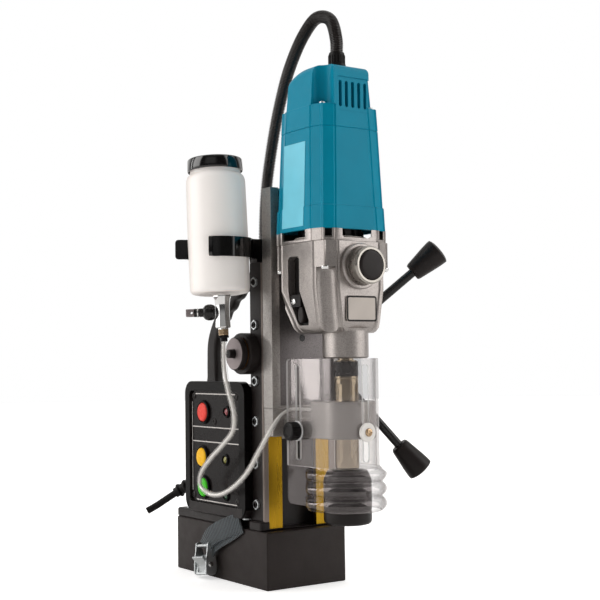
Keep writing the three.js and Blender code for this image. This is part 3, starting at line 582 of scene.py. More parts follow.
PAINT_TABLE = {
    cast_paint: {
        "black_casting": ("231e1d",),
        "magnet_steel": ("2b2422", 0.5),
    },
    ground_steel: {
        "machined_edge": ("857b75", 0.42, (1, 1, 9)),
        "brass": ("a98421", 0.3, (1, 1, 14)),
        "zinc_plate": ("d6dadb", 0.38, (1, 5, 1)),
    },
    turned_steel: {
        "bronze": ("7d5a35", 0.4),
        "pale_brass": ("bba283", 0.26),
        "cap_face": ("8f8585", 0.5, 0.5),
        "black_oxide": ("1f1b1a", 0.34, 0.6),
        "dark_satin": ("100e0e", 0.28, 0.2),
        "champagne_steel": ("b3a38c", 0.15),
        "machined_steel": ("aaa59e", 0.28),
    },
    hammered: {
        "hammered_silver": ("b0aba7", 1.1, 0.09),
        "shaded_hammered_silver": ("726d6d", 1.1, 0.09),
        "silver_paint": ("b5aeaa", 1.0, 0.1, 0.85),
    },
    plastic: {
        "black_rim": ("0a0808", 0.3, 0.01, 0.7, 0.1),
        "dark_bezel": ("040303", 0.3, 0.01, 0.7, 0.1),
        "dark_tube": ("2b2624", 0.3, 0.02, 0.7, 0.6),
        "teal_plastic": ("0089a6", 0.38, 0.02, 0.9, 0.12),
        "stripe_blue": ("7bd4ea", 0.35, 0.004),
        "black_plastic": ("151212", 0.4, 0.03, 0.6),
        "brown_plastic": ("241f1e", 0.4, 0.03, 0.6),
        "panel_plastic": ("171313", 0.26, 0.012, 0.8, 0.12),
        "black_rubber": ("131110", 0.45, 0.05, 0.9),
        "white_nylon": ("f1eeea", 0.4, 0.02),
        "panel_print": ("d9d4d0", 0.5),
        "label_silver": ("c9c0b8", 0.36, 0.01),
        "label_border": ("1d1a1a", 0.4),
        "red_plastic": ("f0483c", 0.28),
        "yellow_plastic": ("ffc208", 0.28),
        "green_plastic": ("3ecb12", 0.28),
    },
    gloss: {"gloss_black": ("070606",)},
    mirror: {"chrome": ("e3e3e2",)},
    milky: {"milky_plastic": ("fffaf6",)},
    clear: {
        "clear_plastic": ("bdb6b5", 0.17, 0.85, 0.04, 0.04),
        "clear_edge": ("ffffff", 0.7, 0.9, 0.25, 0.0, 0.1),
        "smoked_vinyl": ("a8a1a1", 0.13, 0.9, 0.04, 0.1, 0.85),
        "clear_hose": ("ebe7e2", 0.14, 0.95, 0.06, 0.0, 0.5),
    },
    lens: {
        "red_lens": ("9a1422",),
        "yellow_lens": ("928c1c",),
        "green_lens": ("14542e",),
    },
    woven: {"webbing": ("070a0c", "6d838f")},
    wound: {"copper_winding": ("a85a30",)},
    board_green: {"circuit_board": ("17552f",)},
}
PAINT = {name: make(name, *values) for make, group in PAINT_TABLE.items() for name, values in group.items()}


# ------------------------------------------------------------------ places taken from the frame
magnet = Box("magnet_body")
casting = Box("frame_casting")
panel = Box("control_panel")
slide = Box("head_slide")
bracket = Box("arbor_bracket")
gearbox = Box("gearbox_housing")
cover = Box("gearbox_cover")
plate = Box("rating_plate")
selector = Box("selector_knob")
motor = Box("motor_housing")
cap = Box("motor_cap")
gland = Box("conduit_gland")
guard = Box("chip_guard")
skirt = Box("guard_skirt")
shaft = Box("spindle_shaft")
holder = Box("arbor_holder")
pinion = Box("pinion_shaft")
hub = Box("capstan_hub")
gib = Box("left_gib_strip")

spindle_y = shaft.mid.y
motor_y = cap.mid.y
gear_front = plate.high.y + 0.1
gear_low = 267.0
gear_ledge = 333.0
flange_top = 70.0
column = {"x": 45.0, "front": -82.5, "back": -58.0, "top": casting.high.z}
pinion_y = -56.0
pinion_z = pinion.mid.z


# ------------------------------------------------------------------ small fasteners
def screw_head(radius, height, drive="cross"):
    """A screw head standing up from z = 0 on the Z axis, with its driver recess."""
    dome = [(0, height), (radius * 0.55, height), (radius * 0.88, height * 0.78),
            (radius, height * 0.4), (radius, -0.3), (0, -0.3)]
    head = turned(dome, 28)
    if drive == "hex":
        return carve(head, [prism("z", circle(radius * 0.55, 6), height * 0.2, height + 1)])
    wide, narrow = radius * 0.6, radius * 0.14
    deep = (height * 0.45, height + 1)
    return carve(head, [block((-u, u), (-v, v), deep) for u, v in ((wide, narrow), (narrow, wide))])


def facing(shape, direction, at):
    """Turns a shape that stands on Z to stand along a direction from a point."""
    turn = Z.rotation_difference(Vector(direction)).to_matrix().to_4x4()
    return shape.placed(Matrix.Translation(at) @ turn)


def repeated(shape, direction, places):
    return together(facing(shape, direction, at) for at in places)


# ------------------------------------------------------------------ magnet and frame
def build_frame():
    keep("magnet_body", "magnet_steel", 1.0, 3)
    keep("frame_casting", "black_casting", 0.7, 3)
    keep("side_cover", "black_casting", 0.6)
    for side in ("left", "right"):
        keep(f"{side}_gib_strip", "brass", 0.3)
    for coil in ("front_coil", "rear_coil"):
        keep(coil, "copper_winding", 0.8)


def build_column_edges():
    """The machined front edges of the column: a bright strip on each side of the brass."""
    proud = 0.25
    edges = Shape()
    for side, lip in ((-1, proud), (1, 2.8)):
        across = sorted((side * (column["x"] + lip), side * (gib.size.x + 22.0)))
        edges += block(across, (column["front"] - proud, column["front"] + 3),
                       (flange_top - 4, column["top"] - 1))
    piece("column_edges", edges, "machined_edge", slot="machined_steel", bevel=0.4)


def build_gib_screws():
    """Set screws with lock nuts, which press the gib strips from both sides of the column."""
    nut = carve(prism("z", circle(5.6, 6), -0.5, 2.6), [rod(3.4, -1, 3, 24)])
    stud = turned([(0, 3.6), (2.9, 3.6), (3.3, 3.2), (3.3, -0.5), (0, -0.5)], 24)
    stud = carve(stud, [prism("z", circle(2.0, 6), 1.2, 5)])
    nuts, studs = Shape(), Shape()
    for side in (-1, 1):
        places = [(side * column["x"], -68.5, z) for z in (324, 278, 218, 175, 130, 87)]
        nuts += repeated(nut, X * side, places)
        studs += repeated(stud, X * side, places)
    piece("gib_lock_nuts", nuts, "zinc_plate", bevel=0.35)
    piece("gib_set_screws", studs, "black_oxide", bevel=0.2)


def build_base_screws():
    """Cap screws on washers, which hold the frame to the magnet at the rim's feet and at the back."""
    washer = turned([(0, 1.2), (5.4, 1.2), (5.6, 0.9), (5.6, -0.4), (0, -0.4)], 28)
    head = turned([(0, 6.5), (3.6, 6.5), (4.2, 5.9), (4.2, 1), (0, 1)], 28)
    head = carve(head, [prism("z", circle(2.3, 6), 3.5, 8)])
    edge = magnet.high.x - 5.5
    places = [(-edge, 51.6), (-edge, -49.5), (edge, 52), (edge, -50), (-38, 84), (38, 84)]
    places = [(x, y, flange_top) for x, y in places]
    piece("base_washers", repeated(washer, Z, places), "zinc_plate")
    piece("base_screws", repeated(head, Z, places), "black_oxide")


def build_cover_screws():
    lid = Box("side_cover")
    inset = 8
    places = [(lid.high.x, y, z) for y in (lid.low.y + inset, lid.high.y - inset)
              for z in (lid.low.z + inset, lid.high.z - inset)]
    piece("cover_screws", repeated(screw_head(3.2, 1.8), X, places), "zinc_plate", bevel=0.12)


def build_rim():
    """A glossy moulded surround over the rim of the electronics housing."""
    left = -55.0
    front, back, top = -60.0, 67.0, 217.0
    lip = 0.35
    outer = rounded(front - lip, back + lip, flange_top + 0.4, top + lip, 14.4, 12)
    inner = rounded(panel.low.y - 0.4, panel.high.y + 0.4, panel.low.z - 0.6, panel.high.z + 0.4, 6.4, 8)
    shell = prism("x", outer, left - lip, -45.5)
    hollow = prism("x", inner, left - 3, -44)
    under = block((left - 3, -44), (front + 6.5, back - 6.5), (flange_top - 3, panel.low.z))
    notch = block((left - 3, -44), (-46, 52), (flange_top - 3, panel.low.z + 6))
    body = carve(shell, [hollow, under, notch])
    piece("rim_surround", body, "black_rim", slot="black_casting", bevel=1.3, segments=4)


def build_handle():
    """The carrying handle: a bowed bar with finger waves on its inner side."""
    half_width = 6.3
    half_depth = 11.0
    controls = [(0, 91, 206), (0, 91, 240), (0, 89, 262), (0, 76, 284), (0, 52, 306),
                (0, 24, 324), (0, -12, 332), (0, -57.6, 333)]
    path = even(curve(controls, 10), 2.0)
    total = len(path) - 1
    sections = []
    for i in range(len(path)):
        share = i / total
        inside = 3.0 * min(1.0, share / 0.3, (1 - share) / 0.12)
        if 0.32 < share < 0.78:
            inside += 2.2 * math.sin((share - 0.32) / 0.46 * math.pi * 5) ** 2
        flare = 4.0 * max(0.0, 1 - share / 0.07) ** 2 + 4.0 * max(0.0, (share - 0.94) / 0.06) ** 2
        across = half_width + flare
        sections.append(rounded(-across, across, -half_depth - flare + inside, half_depth + flare, 4.2, 5))
    bar = sweep(path, sections, Y)
    boss_y = -22.0
    boss = turned([(0, 326), (9.5, 326), (11, 328), (11, 342.5), (9.6, 344), (7.9, 344), (7.9, 338.5),
                   (0, 338.5)], 48, "z", (0, boss_y, 0))
    column_foot = prism("y", rounded(-16, 16, 322, column["top"] - 1, 4), column["back"] + 0.1,
                        column["back"] + 6)
    rear_foot = prism("z", rounded(-12, 12, 79, 101, 5), 205, 213)
    body = join(bar, boss, column_foot, rear_foot)
    piece("handle_bar", body, "black_casting", node="carry_handle", bevel=0.6, crease=40)
    bolts = repeated(screw_head(2.6, 2.2, "hex"), Y, [(x, column["back"] + 6, 334) for x in (-9, 9)])
    piece("handle_bolts", bolts, "black_oxide")


def build_pinion_boss():
    """The left end of the capstan shaft: casting ring, bronze bush edge, disc cap and hollow stub, with a
    black disc of painted shade over its end.
    """
    left = casting.low.x
    cap_left = Box("left_bearing_cap").low.x
    stub_left = pinion.low.x

    def ring(name, profile, paint, *how, steps=64, **more):
        body = turned(profile, steps, "x", (0, pinion_y, pinion_z))
        piece(name, body, paint, *how, **more)

    ring("boss_ring", [(22.2, -44), (22.2, left + 1), (21.2, left - 0.1), (18.4, left - 0.1),
                       (17.8, left + 0.8), (17.8, -44), (22.2, -44)], "black_casting")
    ring("bronze_bush", [(17.6, left + 2), (17.6, left - 1.0), (14.6, left - 1.0), (14.6, left + 2),
                         (17.6, left + 2)], "bronze", slot="brass")
    ring("bearing_cap", [(5.0, cap_left), (16.6, cap_left), (17.6, cap_left + 0.9), (17.6, left - 1.6),
                         (16.4, left - 1.6), (16.4, left + 1), (5.0, left + 1), (5.0, cap_left)],
         "black_casting", node="left_bearing_cap")
    ring("bearing_face", [(5.2, cap_left - 0.12), (16.5, cap_left - 0.12), (16.8, cap_left + 0.2),
                          (5.2, cap_left + 0.2), (5.2, cap_left - 0.12)], "cap_face", slot="machined_steel")
    ring("shaft_stub", [(3.0, stub_left - 0.3), (4.2, stub_left - 0.3), (4.8, stub_left + 0.4),
                        (4.8, left + 2), (4.5, left + 2), (4.5, stub_left - 0.1), (3.0, stub_left - 0.1),
                        (3.0, stub_left - 0.3)], "black_oxide", "capstan", slot="machined_steel", steps=40)
    # painted shade: a black disc over the shaft's end stands for the dark inside of a hollow end
    ring("bore_shade_disc", [(0, stub_left - 0.2), (3.1, stub_left - 0.2), (3.1, stub_left + 0.2),
                        (0, stub_left + 0.2)], "black_rubber", "capstan", slot="black_oxide", steps=32)
    keep("right_bearing_bush", "bronze", 0.2)
    keep("pinion_shaft", "machined_steel", 0.2)


# ------------------------------------------------------------------ control panel
BUTTONS = ("red", "yellow", "green")
LAMPS = {"power": "red", "magnet": "yellow", "motor": "green"}


def panel_centre(node):
    mid = Box(node).mid
    return (0, mid.y, mid.z)


def build_panel():
    face, inner = panel.low.x, panel.high.x
    plate_outline = rounded(panel.low.y, panel.high.y, panel.low.z, panel.high.z, 6, 8)
    holes = [rod(11.0, face - 2, inner + 2, 48, "x", panel_centre(f"{color}_button")) for color in BUTTONS]
    holes += [rod(4.7, face - 2, inner + 2, 32, "x", panel_centre(f"{name}_lamp")) for name in LAMPS]
    body = carve(prism("x", plate_outline, face, inner), holes)
    piece("panel_plate", body, "panel_plastic", node="control_panel", slot="black_plastic", bevel=0.5)
    places = [(51.0, 200.6), (-39.8, 200.2), (52.2, 88.6), (-41.5, 87.6), (6.0, 172.6)]
    screws = repeated(screw_head(3.7, 1.1), -X, [(face, y, z) for y, z in places])
    piece("panel_screws", screws, "black_oxide", bevel=0.1)
    keep("circuit_board", "circuit_board", 0.1)


def build_panel_lines():
    """The printed lines: a broken outline, and two rules across."""
    depth = (panel.low.x - 0.12, panel.low.x + 0.1)
    line = 0.55
    left = panel.high.y - 1.6
    right = panel.low.y + 3.0
    top = panel.high.z - 3.2
    rules = Shape()
    for z, start, end in ((166.0, right, left), (149.6, right, left), (top, right + 6, left - 8),
                          (83.8, right + 5, left - 9)):
        rules += block(depth, (start, end), (z - line, z + line))
    rules += block(depth, (left - line, left + line * 0.2), (panel.low.z + 12, top - 9))
    rules += block(depth, (right, right + line * 1.2), (panel.low.z + 5, top - 10))
    piece("panel_lines", rules, "panel_print", slot="white_nylon")


def build_buttons():
    face = panel.low.x
    bezels = Shape()
    for color in BUTTONS:
        button = Box(f"{color}_button")
        at = panel_centre(f"{color}_button")
        radius = button.size.y / 2
        ring = [(radius + 0.3, face + 1), (radius + 0.3, face - 2.2), (radius + 0.9, face - 3.0),
                (radius + 2.2, face - 2.6), (radius + 2.9, face - 1.2), (radius + 2.9, face + 1),
                (radius + 0.3, face + 1)]
        bezels += turned(ring, 64, "x", at)
        front = button.low.x
        crown = [(0, front), (radius - 3.0, front + 0.08), (radius - 1.2, front + 0.45),
                 (radius - 0.4, front + 1.2), (radius, front + 2.4), (radius, panel.high.x),
                 (0, panel.high.x)]
        piece(f"{color}_cap", turned(crown, 64, "x", at), f"{color}_plastic", f"{color}_switch",
              node=f"{color}_button")
    piece("button_bezels", bezels, "dark_bezel", slot="gloss_black")


def build_lamps():
    face = panel.low.x
    holders = Shape()
    for name, color in LAMPS.items():
        lamp = Box(f"{name}_lamp")
        at = panel_centre(f"{name}_lamp")
        radius = lamp.size.y / 2
        ring = [(radius - 0.2, face + 1), (radius - 0.2, face - 1.6), (radius + 0.5, face - 2.1),
                (radius + 2.0, face - 1.5), (radius + 2.5, face + 0.3), (radius - 0.2, face + 1)]
        holders += turned(ring, 48, "x", at)
        front = lamp.low.x
        dome = [(0, front), (1.6, front + 0.15), (3.1, front + 0.75), (4.1, front + 1.7), (4.3, front + 2.6),
                (4.3, panel.high.x), (0, panel.high.x)]
        piece(f"{name}_lens", turned(dome, 40, "x", at), f"{color}_lens", node=f"{name}_lamp")
    piece("lamp_bezels", holders, "dark_bezel", slot="gloss_black")


# ------------------------------------------------------------------ cord, strap and buckle
def build_cord():
    relief = even(curve([(-22, 89.5, 97), (-26, 99, 95), (-34, 109, 90), (-41, 117, 84)], 8), 0.6)
    total = len(relief) - 1
    sections = []
    for i in range(len(relief)):
        share = i / total
        core = 7.6 - 1.8 * share
        rib = max(0.0, math.sin(share * 4 * 2 * math.pi - 0.6)) ** 0.35 if share < 0.86 else 0.0
        sections.append(circle(core + 2.8 * rib * (1 - 0.35 * share), 32))
    piece("strain_relief", sweep(relief, sections), "black_rubber", node="cord_strain_relief", crease=60)
    cord = even(curve([(-40.5, 116.5, 84.3), (-49, 124, 77), (-58, 130, 70), (-69, 136, 63)], 8), 2.0)
    piece("mains_cord", sweep(cord, circle(4.0, 32)), "black_rubber", node="power_cord")


def strap_layer(controls, half_width, half_thick):
    """The sections of a flat woven band that hangs beside the magnet."""
    path = even(curve(controls, 8), 1.2)
    rings = []
    for i, at in enumerate(path):
        heading = (path[min(i + 1, len(path) - 1)] - path[max(i - 1, 0)]).normalized()
        across = heading.cross(-X).normalized()
        out = across.cross(heading).normalized()
        outline = rounded(-half_thick, half_thick, -half_width, half_width, half_thick * 0.8, 3)
        rings.append([at + out * u + across * v for u, v in outline])
    return rings


def weave(thing, rings):
    """Gives a strap its across and along coordinates in millimetres."""
    layer = thing.data.uv_layers.new(name="weave")
    path = [sum(ring, Vector()) / len(ring) for ring in rings]
    lengths = [0.0]
    for a, b in zip(path, path[1:]):
        lengths.append(lengths[-1] + (b - a).length)
    for loop in thing.data.loops:
        spot = thing.data.vertices[loop.vertex_index].co / MM
        near = min(range(len(path)), key=lambda i: (path[i] - spot).length)
        heading = (path[min(near + 1, len(path) - 1)] - path[max(near - 1, 0)]).normalized()
        across = heading.cross(-X).normalized()
        offset = spot - path[near]
        layer.data[loop.index].uv = (offset.dot(across), lengths[near] + offset.dot(heading))


def build_strap():
    front = [(-52.8, -46, 66.5), (-54.4, -37, 63.5), (-56.4, -22, 58.5), (-58, -4, 51.5), (-59.4, 9, 43.5),
             (-60.2, 16, 33.5)]
    back = [(-52.4, -48, 64.5), (-53.4, -40, 60), (-54.4, -26, 53), (-55.4, -8, 45), (-56.6, 5, 37),
            (-57.4, 12, 28)]
    for name, controls, half_width in [("strap_front", front, 11.0), ("strap_back", back, 9.6)]:
        rings = strap_layer(controls, half_width, 0.8)
        node = "safety_strap" if name == "strap_front" else None
        strap = piece(name, loft(rings), "webbing", node=node, crease=50)
        weave(strap, rings)


def build_buckle():
    """The cam buckle: two cheeks, a back plate and tie bar, with the pivoting cam lever between them."""
    lean = (Matrix.Translation((-60, 15.5, 19.8)) @ Matrix.Rotation(-0.14, 4, "X")
            @ Matrix.Diagonal((1.2, 1.12, 1.2, 1)))
    cheek = [(-6.8, -11.5), (-4.5, -13.6), (-0.5, -14.0), (2.5, -13.2), (4.2, -11.0), (5.0, -6.0),
             (4.6, 2.0), (3.0, 10.0), (2.2, 15.0), (1.2, 16.0), (-1.6, 16.0), (-2.8, 15.0), (-4.0, 8.0),
             (-5.6, 2.0), (-6.4, -5.0)]
    cheeks = prism("y", cheek, -12.0, -10.4) + prism("y", cheek, 10.4, 12.0)
    back = block((2.0, 3.6), (-12, 12), (-6, 4.5))
    foot = block((-4.5, -3.2), (-12, 12), (-13.4, -9.0))
    bar = rod(1.6, -11.6, 11.6, 24, "y", (-1, 0, 13))
    body = join(cheeks, back, foot, bar)
    piece("buckle_body", body.placed(lean), "zinc_plate", node="buckle_frame", bevel=0.5, segments=3)
    rivet = turned([(0, 0.9), (1.4, 0.8), (2.3, 0.2), (2.5, -0.4), (0, -0.4)], 24)
    rivets = facing(rivet, -Y, (-1.5, -12.0, -4)) + facing(rivet, Y, (-1.5, 12.0, -4))
    piece("buckle_rivets", rivets.placed(lean), "chrome", slot="zinc_plate")
    lever = [(-6.4, -12.6), (-5.2, -13.2), (-0.6, -6.6), (0.2, -3.6), (-0.2, -1.2), (-3.0, 0.4),
             (-8.2, 3.8), (-9.0, 2.7), (-5.0, -2.6), (-4.8, -6.0)]
    cam = prism("y", lever, -10.1, 10.1)
    window = block((-12, -4.4), (-6.4, 6.4), (-10.5, -4.6))
    teeth = together(rod(0.8, -9.6, 9.6, 12, "y", (0.1 - 0.5 * i, 0, -6.0 + 1.6 * i)) for i in range(3))
    piece("buckle_lever", (carve(cam, [window]) + teeth).placed(lean), "zinc_plate", "buckle_lever",
          node="buckle_cam", bevel=0.35, segments=3)


# ------------------------------------------------------------------ coolant bottle and its fittings
BOTTLE_LEAN = -3.6
STAND = Matrix.Translation((-81, -55.9, 311)) @ Matrix.Rotation(math.radians(BOTTLE_LEAN), 4, "X")


def build_bottle():
    r = 32.3
    cap_z = 131.0
    body = [(0, 1.6), (18, 1.6), (19.5, 0.4), (r - 7, 0), (r - 3.0, 0.9), (r - 1.0, 2.9), (r - 0.4, 6),
            (r, 60), (r - 0.5, cap_z - 13), (r - 0.9, cap_z - 8), (r - 2.2, cap_z - 4.6),
            (r - 4.2, cap_z - 2.8), (r - 5.0, cap_z - 1.6), (r - 5.0, cap_z + 8), (r - 6.6, cap_z + 8),
            (r - 6.6, cap_z - 4), (r - 2.6, cap_z - 9),
            (r - 1.6, 6), (r - 6, 3.4), (0, 3.4)]
    piece("bottle_shell", turned(body, 96).placed(STAND), "milky_plastic", node="coolant_bottle", crease=50)
    top = cap_z + 14.5
    lid = [(0, top - 0.3), (26.0, top - 0.3), (27.6, top), (28.6, top - 0.25), (29.5, top - 1.4),
           (29.8, cap_z + 1.8), (29.4, cap_z + 1), (28.9, cap_z + 1), (28.9, top - 3), (0, top - 3)]
    piece("bottle_lid", turned(lid, 96).placed(STAND), "gloss_black", "bottle_lid", node="bottle_cap",
          crease=50)


def build_clip():
    """The spring clip that holds the bottle, with its arm to the column and lips at the mouth."""
    clip = Box("bottle_clip")
    low, high = clip.low.z + 3.7, clip.high.z - 6
    centre_x, centre_y = STAND.translation.x, STAND.translation.y + 3.3
    inner, outer = 33.2, 36.9
    near, far = 180 + 46.0, 540 - 38.0
    ring = arc(0, 0, outer, near, far, 72) + arc(0, 0, inner, far, near, 72)
    band = prism("z", ring, low, high)
    lips = []
    for end, length in ((near + 1.5, 8), (far - 1.5, 13)):
        lip = prism("y", rounded(inner + 0.4, inner + length, low, high, 3.4, 5), -1.9, 1.9)
        lips.append(lip.turned("Z", end))
    arms = join(band, *lips).moved(centre_x, centre_y)
    back_arm = block((-50, -19), (-73, -44), (low, high))
    leg = block((-column["x"], -19), (-73, column["back"]), (column["top"] + 0.2, high))
    room = rod(inner + 0.1, low - 1, high + 1, 72, "z", (centre_x, centre_y, 0))
    trim = block((-31.5, 0), (-80, -40), (low - 12, high + 2))
    root = carve(join(back_arm, leg), [room, trim])
    piece("bottle_holder", join(arms, root), "gloss_black", node="bottle_clip", bevel=1.1, segments=3,
          crease=28)


def build_tap():
    body = [(0, -0.3), (9.6, -0.3), (10.0, -0.8), (10.0, -3.2), (9.0, -5.0), (7.9, -12), (7.7, -24),
            (8.4, -32), (8.6, -35.4), (7.6, -36.4), (5.8, -36.6), (5.8, -38.1), (0, -38.1)]
    drop = STAND @ Matrix.Translation((1.5, -1, 0))
    piece("tap_valve", turned(body, 8, phase=32).placed(drop), "chrome", node="tap_body", bevel=0.5,
          segments=3, crease=20)
    fitting = [(0, -36.9), (5.4, -36.9), (6.0, -37.7), (6.0, -43.6), (5.4, -44.4), (0, -44.4)]
    piece("hose_nut", turned(fitting, 6).placed(drop), "pale_brass", node="hose_fitting", slot="brass",
          bevel=0.4, segments=3, crease=20)
    radii = [4.9 + 0.55 * (i % 2) for i in range(40)]
    ring = [(r * math.cos(turn), r * math.sin(turn)) for r, turn in zip(radii, spin(40))]
    collar = prism("z", ring, -46.6, -44.5) + rod(3.9, -44.3, -50.5, 32)
    piece("hose_collar", collar.placed(drop), "black_plastic")


def build_tap_lever():
    """The valve's spindle nut, barrel and paddle, on the axis that their joint turns about."""
    valve = (Matrix.Translation((-81, -53, 311)) @ Matrix.Rotation(math.radians(-2.4), 4, "X")
             @ Matrix.Translation((0, 0, -19)) @ Matrix.Rotation(math.radians(145), 4, "Z")
             @ Matrix.Translation((-3.6, 0, 0)))
    nut = turned([(0, 8), (6.4, 8), (7.8, 9.6), (8.6, 12.4), (8.6, 15.6), (7.6, 18.6), (5.4, 20.6), (0, 21)],
                 40, "x")
    barrel = turned([(0, 18), (4.6, 18), (4.6, 25), (4.0, 25.4), (4.0, 27.6), (4.5, 28), (4.5, 30.6),
                     (3.8, 31.4), (0, 31.4)], 32, "x")
    piece("tap_barrel", (nut + barrel).placed(valve), "dark_satin", "tap_handle", node="tap_lever",
          slot="black_plastic", bevel=0.3, crease=25)
    paddle = carve(prism("x", rounded(-4.6, 4.6, -4.0, 4.0, 1.6, 4), 30.4, 39),
                   [rod(1.5, -6, 6, 20, "y", (33.2, 0, 0))])
    piece("tap_paddle", paddle.placed(valve), "cap_face", "tap_handle", slot="silver_paint", bevel=0.6,
          segments=3)
    ring_clip = turned([(3.9, 26.0), (4.75, 26.0), (4.75, 27.2), (3.9, 27.2), (3.9, 26.0)], 32, "x")
    piece("tap_ring", ring_clip.placed(valve), "chrome", "tap_handle")


HOSE_PATH = [(-79.5, -60, 261), (-79.7, -60.4, 236), (-79.4, -65, 214.6), (-78, -76, 185),
             (-77, -72.5, 167.6), (-75, -48, 150.6), (-73, -17, 132.8), (-71, 6, 114.9), (-69, 10.5, 103.6),
             (-68, -3, 96), (-67, -26, 95.5), (-65, -51, 104.7), (-62, -75, 122), (-57, -92, 146),
             (-51, -104, 167), (-38, -103.9, 182), (-28, -104.2, 187.5), (-24, -111, 188.7),
             (-24, -146.5, 188.7)]


def build_hose():
    path = even(curve(HOSE_PATH, 8), 2.0)
    tube = piece("clear_tube", sweep(path, circle(3.15, 20)), "clear_hose", None, node="coolant_hose")
    core = piece("tube_bore", sweep(path, circle(1.7, 12)), "white_nylon", None, slot="clear_hose")
    for part in (tube, core):
        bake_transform(part)


# ------------------------------------------------------------------ capstan
ARM_TURNS = (51.6, 171.6, -68.4)
ARM_SLOPE = math.atan2(104, 145)
ARM_REACH = 178.4
KNOB_START = ARM_REACH - 40.0


def along_arm(shape, degrees):
    """Turns a shape that stands on Z to stand along the arm at an angle round the hub."""
    angle = math.radians(degrees)
    flat_reach = math.cos(ARM_SLOPE)
    out = (math.sin(ARM_SLOPE), -flat_reach * math.cos(angle), flat_reach * math.sin(angle))
    return facing(shape, out, (46, pinion_y, pinion_z))


def build_capstan():
    low, high = hub.low.x, hub.high.x
    radius = hub.size.z / 2
    profile = [(8.3, low), (radius - 3.2, low), (radius - 1, low + 1.6), (radius, low + 4),
               (radius, high - 11), (radius - 0.8, high - 8), (radius - 3.5, high - 4), (11.5, high - 0.6),
               (9.5, high), (0, high), (0, high - 16), (8.3, high - 16), (8.3, low)]
    body = turned(profile, 72, "x", (0, pinion_y, pinion_z))
    seat = turned([(0, 17), (6.9, 17), (6.9, 23.5), (6.2, 24.4), (0, 24.4)], 32)
    for degrees in ARM_TURNS:
        body = join(body, along_arm(seat, degrees))
    piece("capstan_boss", body, "black_oxide", "capstan", node="capstan_hub", bevel=0.4, crease=40)


def build_arms():
    spoke = rod(4.9, 18, KNOB_START + 17, 32)
    knob = [(0, KNOB_START + 2), (5.2, KNOB_START + 2), (5.6, KNOB_START), (9.2, KNOB_START),
            (10.3, KNOB_START + 1.3), (10.9, KNOB_START + 4), (12.4, KNOB_START + 14),
            (14.1, KNOB_START + 25), (15.0, ARM_REACH - 7), (15.1, ARM_REACH - 4.2),
            (14.9, ARM_REACH - 2.8), (13.6, ARM_REACH - 2.2), (12.9, ARM_REACH - 1.7),
            (9.5, ARM_REACH - 0.7), (5, ARM_REACH - 0.15), (0, ARM_REACH)]
    grip = turned(knob, 64)
    for i, degrees in enumerate(ARM_TURNS, 1):
        piece(f"spoke_rod_{i}", along_arm(spoke, degrees), "dark_satin", "capstan", node=f"spoke_{i}",
              slot="black_oxide")
        piece(f"knob_grip_{i}", along_arm(grip, degrees), "brown_plastic", "capstan", node=f"knob_{i}",
              slot="black_plastic", crease=42)


# ------------------------------------------------------------------ slide and bracket
def build_slide():
    keep("head_slide", "hammered_silver", 1.0, 3)
    keep("rack", "machined_steel", 0.12)
    # Painted shade: a darker copy of the silver enamel laid over the recessed web, and the plugged hole in
    # it.
    web_face = slide.low.y + 5
    half = slide.high.x - 10
    web = prism("y", [(-half + 0.3, 192), (half - 0.3, 192), (half - 0.3, slide.high.z - 3),
                      (-half + 0.3, slide.high.z - 3)], web_face - 0.35, web_face + 0.4)
    hole = rod(3.8, web_face - 3, web_face + 3, 32, "y", (-3, 0, 263.5))
    piece("web_shade_panel", carve(web, [hole]), "shaded_hammered_silver", "head", slot="hammered_silver")
    cup = rod(3.8, web_face - 0.1, web_face + 0.35, 32, "y", (-3, 0, 263.5))
    piece("web_hole", cup, "dark_satin", "head", slot="black_oxide")


def nose_outline(half, back):
    return [(half, back)] + arc(0, spindle_y, half, 0, -180, 28) + [(-half, back)]


def build_bracket():
    half = 29.8
    low, shelf, top = bracket.low.z, 178.0, bracket.high.z
    foot = block((-slide.high.x, slide.high.x), (slide.low.y, -83), (low, slide.low.z + 33.6))
    arm = prism("z", nose_outline(half, slide.low.y + 1), low, shelf)
    collar = prism("z", nose_outline(half, -147), shelf - 1, top)
    bore = turned([(0, low - 1), (13.6, low - 1), (13.6, low + 4), (20.9, low + 4), (20.9, top + 1),
                   (0, top + 1)], 64, "z", (0, spindle_y, 0))
    body = carve(join(foot, arm, collar), [bore])
    piece("bracket_body", body, "hammered_silver", "head", node="arbor_bracket", bevel=1.2, segments=3)
    keep("arbor_bearing", "machined_steel", 0.3)
    elbow = turned([(0, 9), (4.6, 9), (4.6, 2), (5.6, 1.2), (5.6, -1), (0, -1)], 6, "y", (-24, -147, 188.7))
    piece("coolant_nipple", elbow.moved(0, -10.5), "dark_satin", "head", slot="black_oxide")


# ------------------------------------------------------------------ gearbox
CORNER = 16.5
WINDOW = [(-130, 343), (-133, 346), (-147, 346), (-150, 343), (-150, 310), (-160, 280), (-158, 275),
          (-143, 275), (-140, 278), (-130, 302)]


def columned(half_x, front, back, groove=1.0, shrink=0.0):
    """A square outline whose corners are two-faced columns set off by thin grooves."""
    half_x = half_x - shrink
    half_y = (back - front) / 2 - shrink
    middle = (front + back) / 2
    width = 1.5
    ridge = CORNER * 0.23
    outline = []
    for quarter in range(4):
        a, b = (half_x, half_y) if quarter % 2 == 0 else (half_y, half_x)
        local = [(a, b - CORNER - 2 * width), (a - groove, b - CORNER - width),
                 (a - 0.35 * groove, b - CORNER), (a - ridge - 0.6, b - ridge - 2.2), (a - ridge, b - ridge),
                 (a - ridge - 2.2, b - ridge - 0.6), (a - CORNER, b - 0.35 * groove),
                 (a - CORNER - width, b - groove), (a - CORNER - 2 * width, b)]
        turn = math.radians(90 * quarter)
        for u, v in local:
            outline.append((u * math.cos(turn) - v * math.sin(turn),
                            middle + u * math.sin(turn) + v * math.cos(turn)))
    return outline


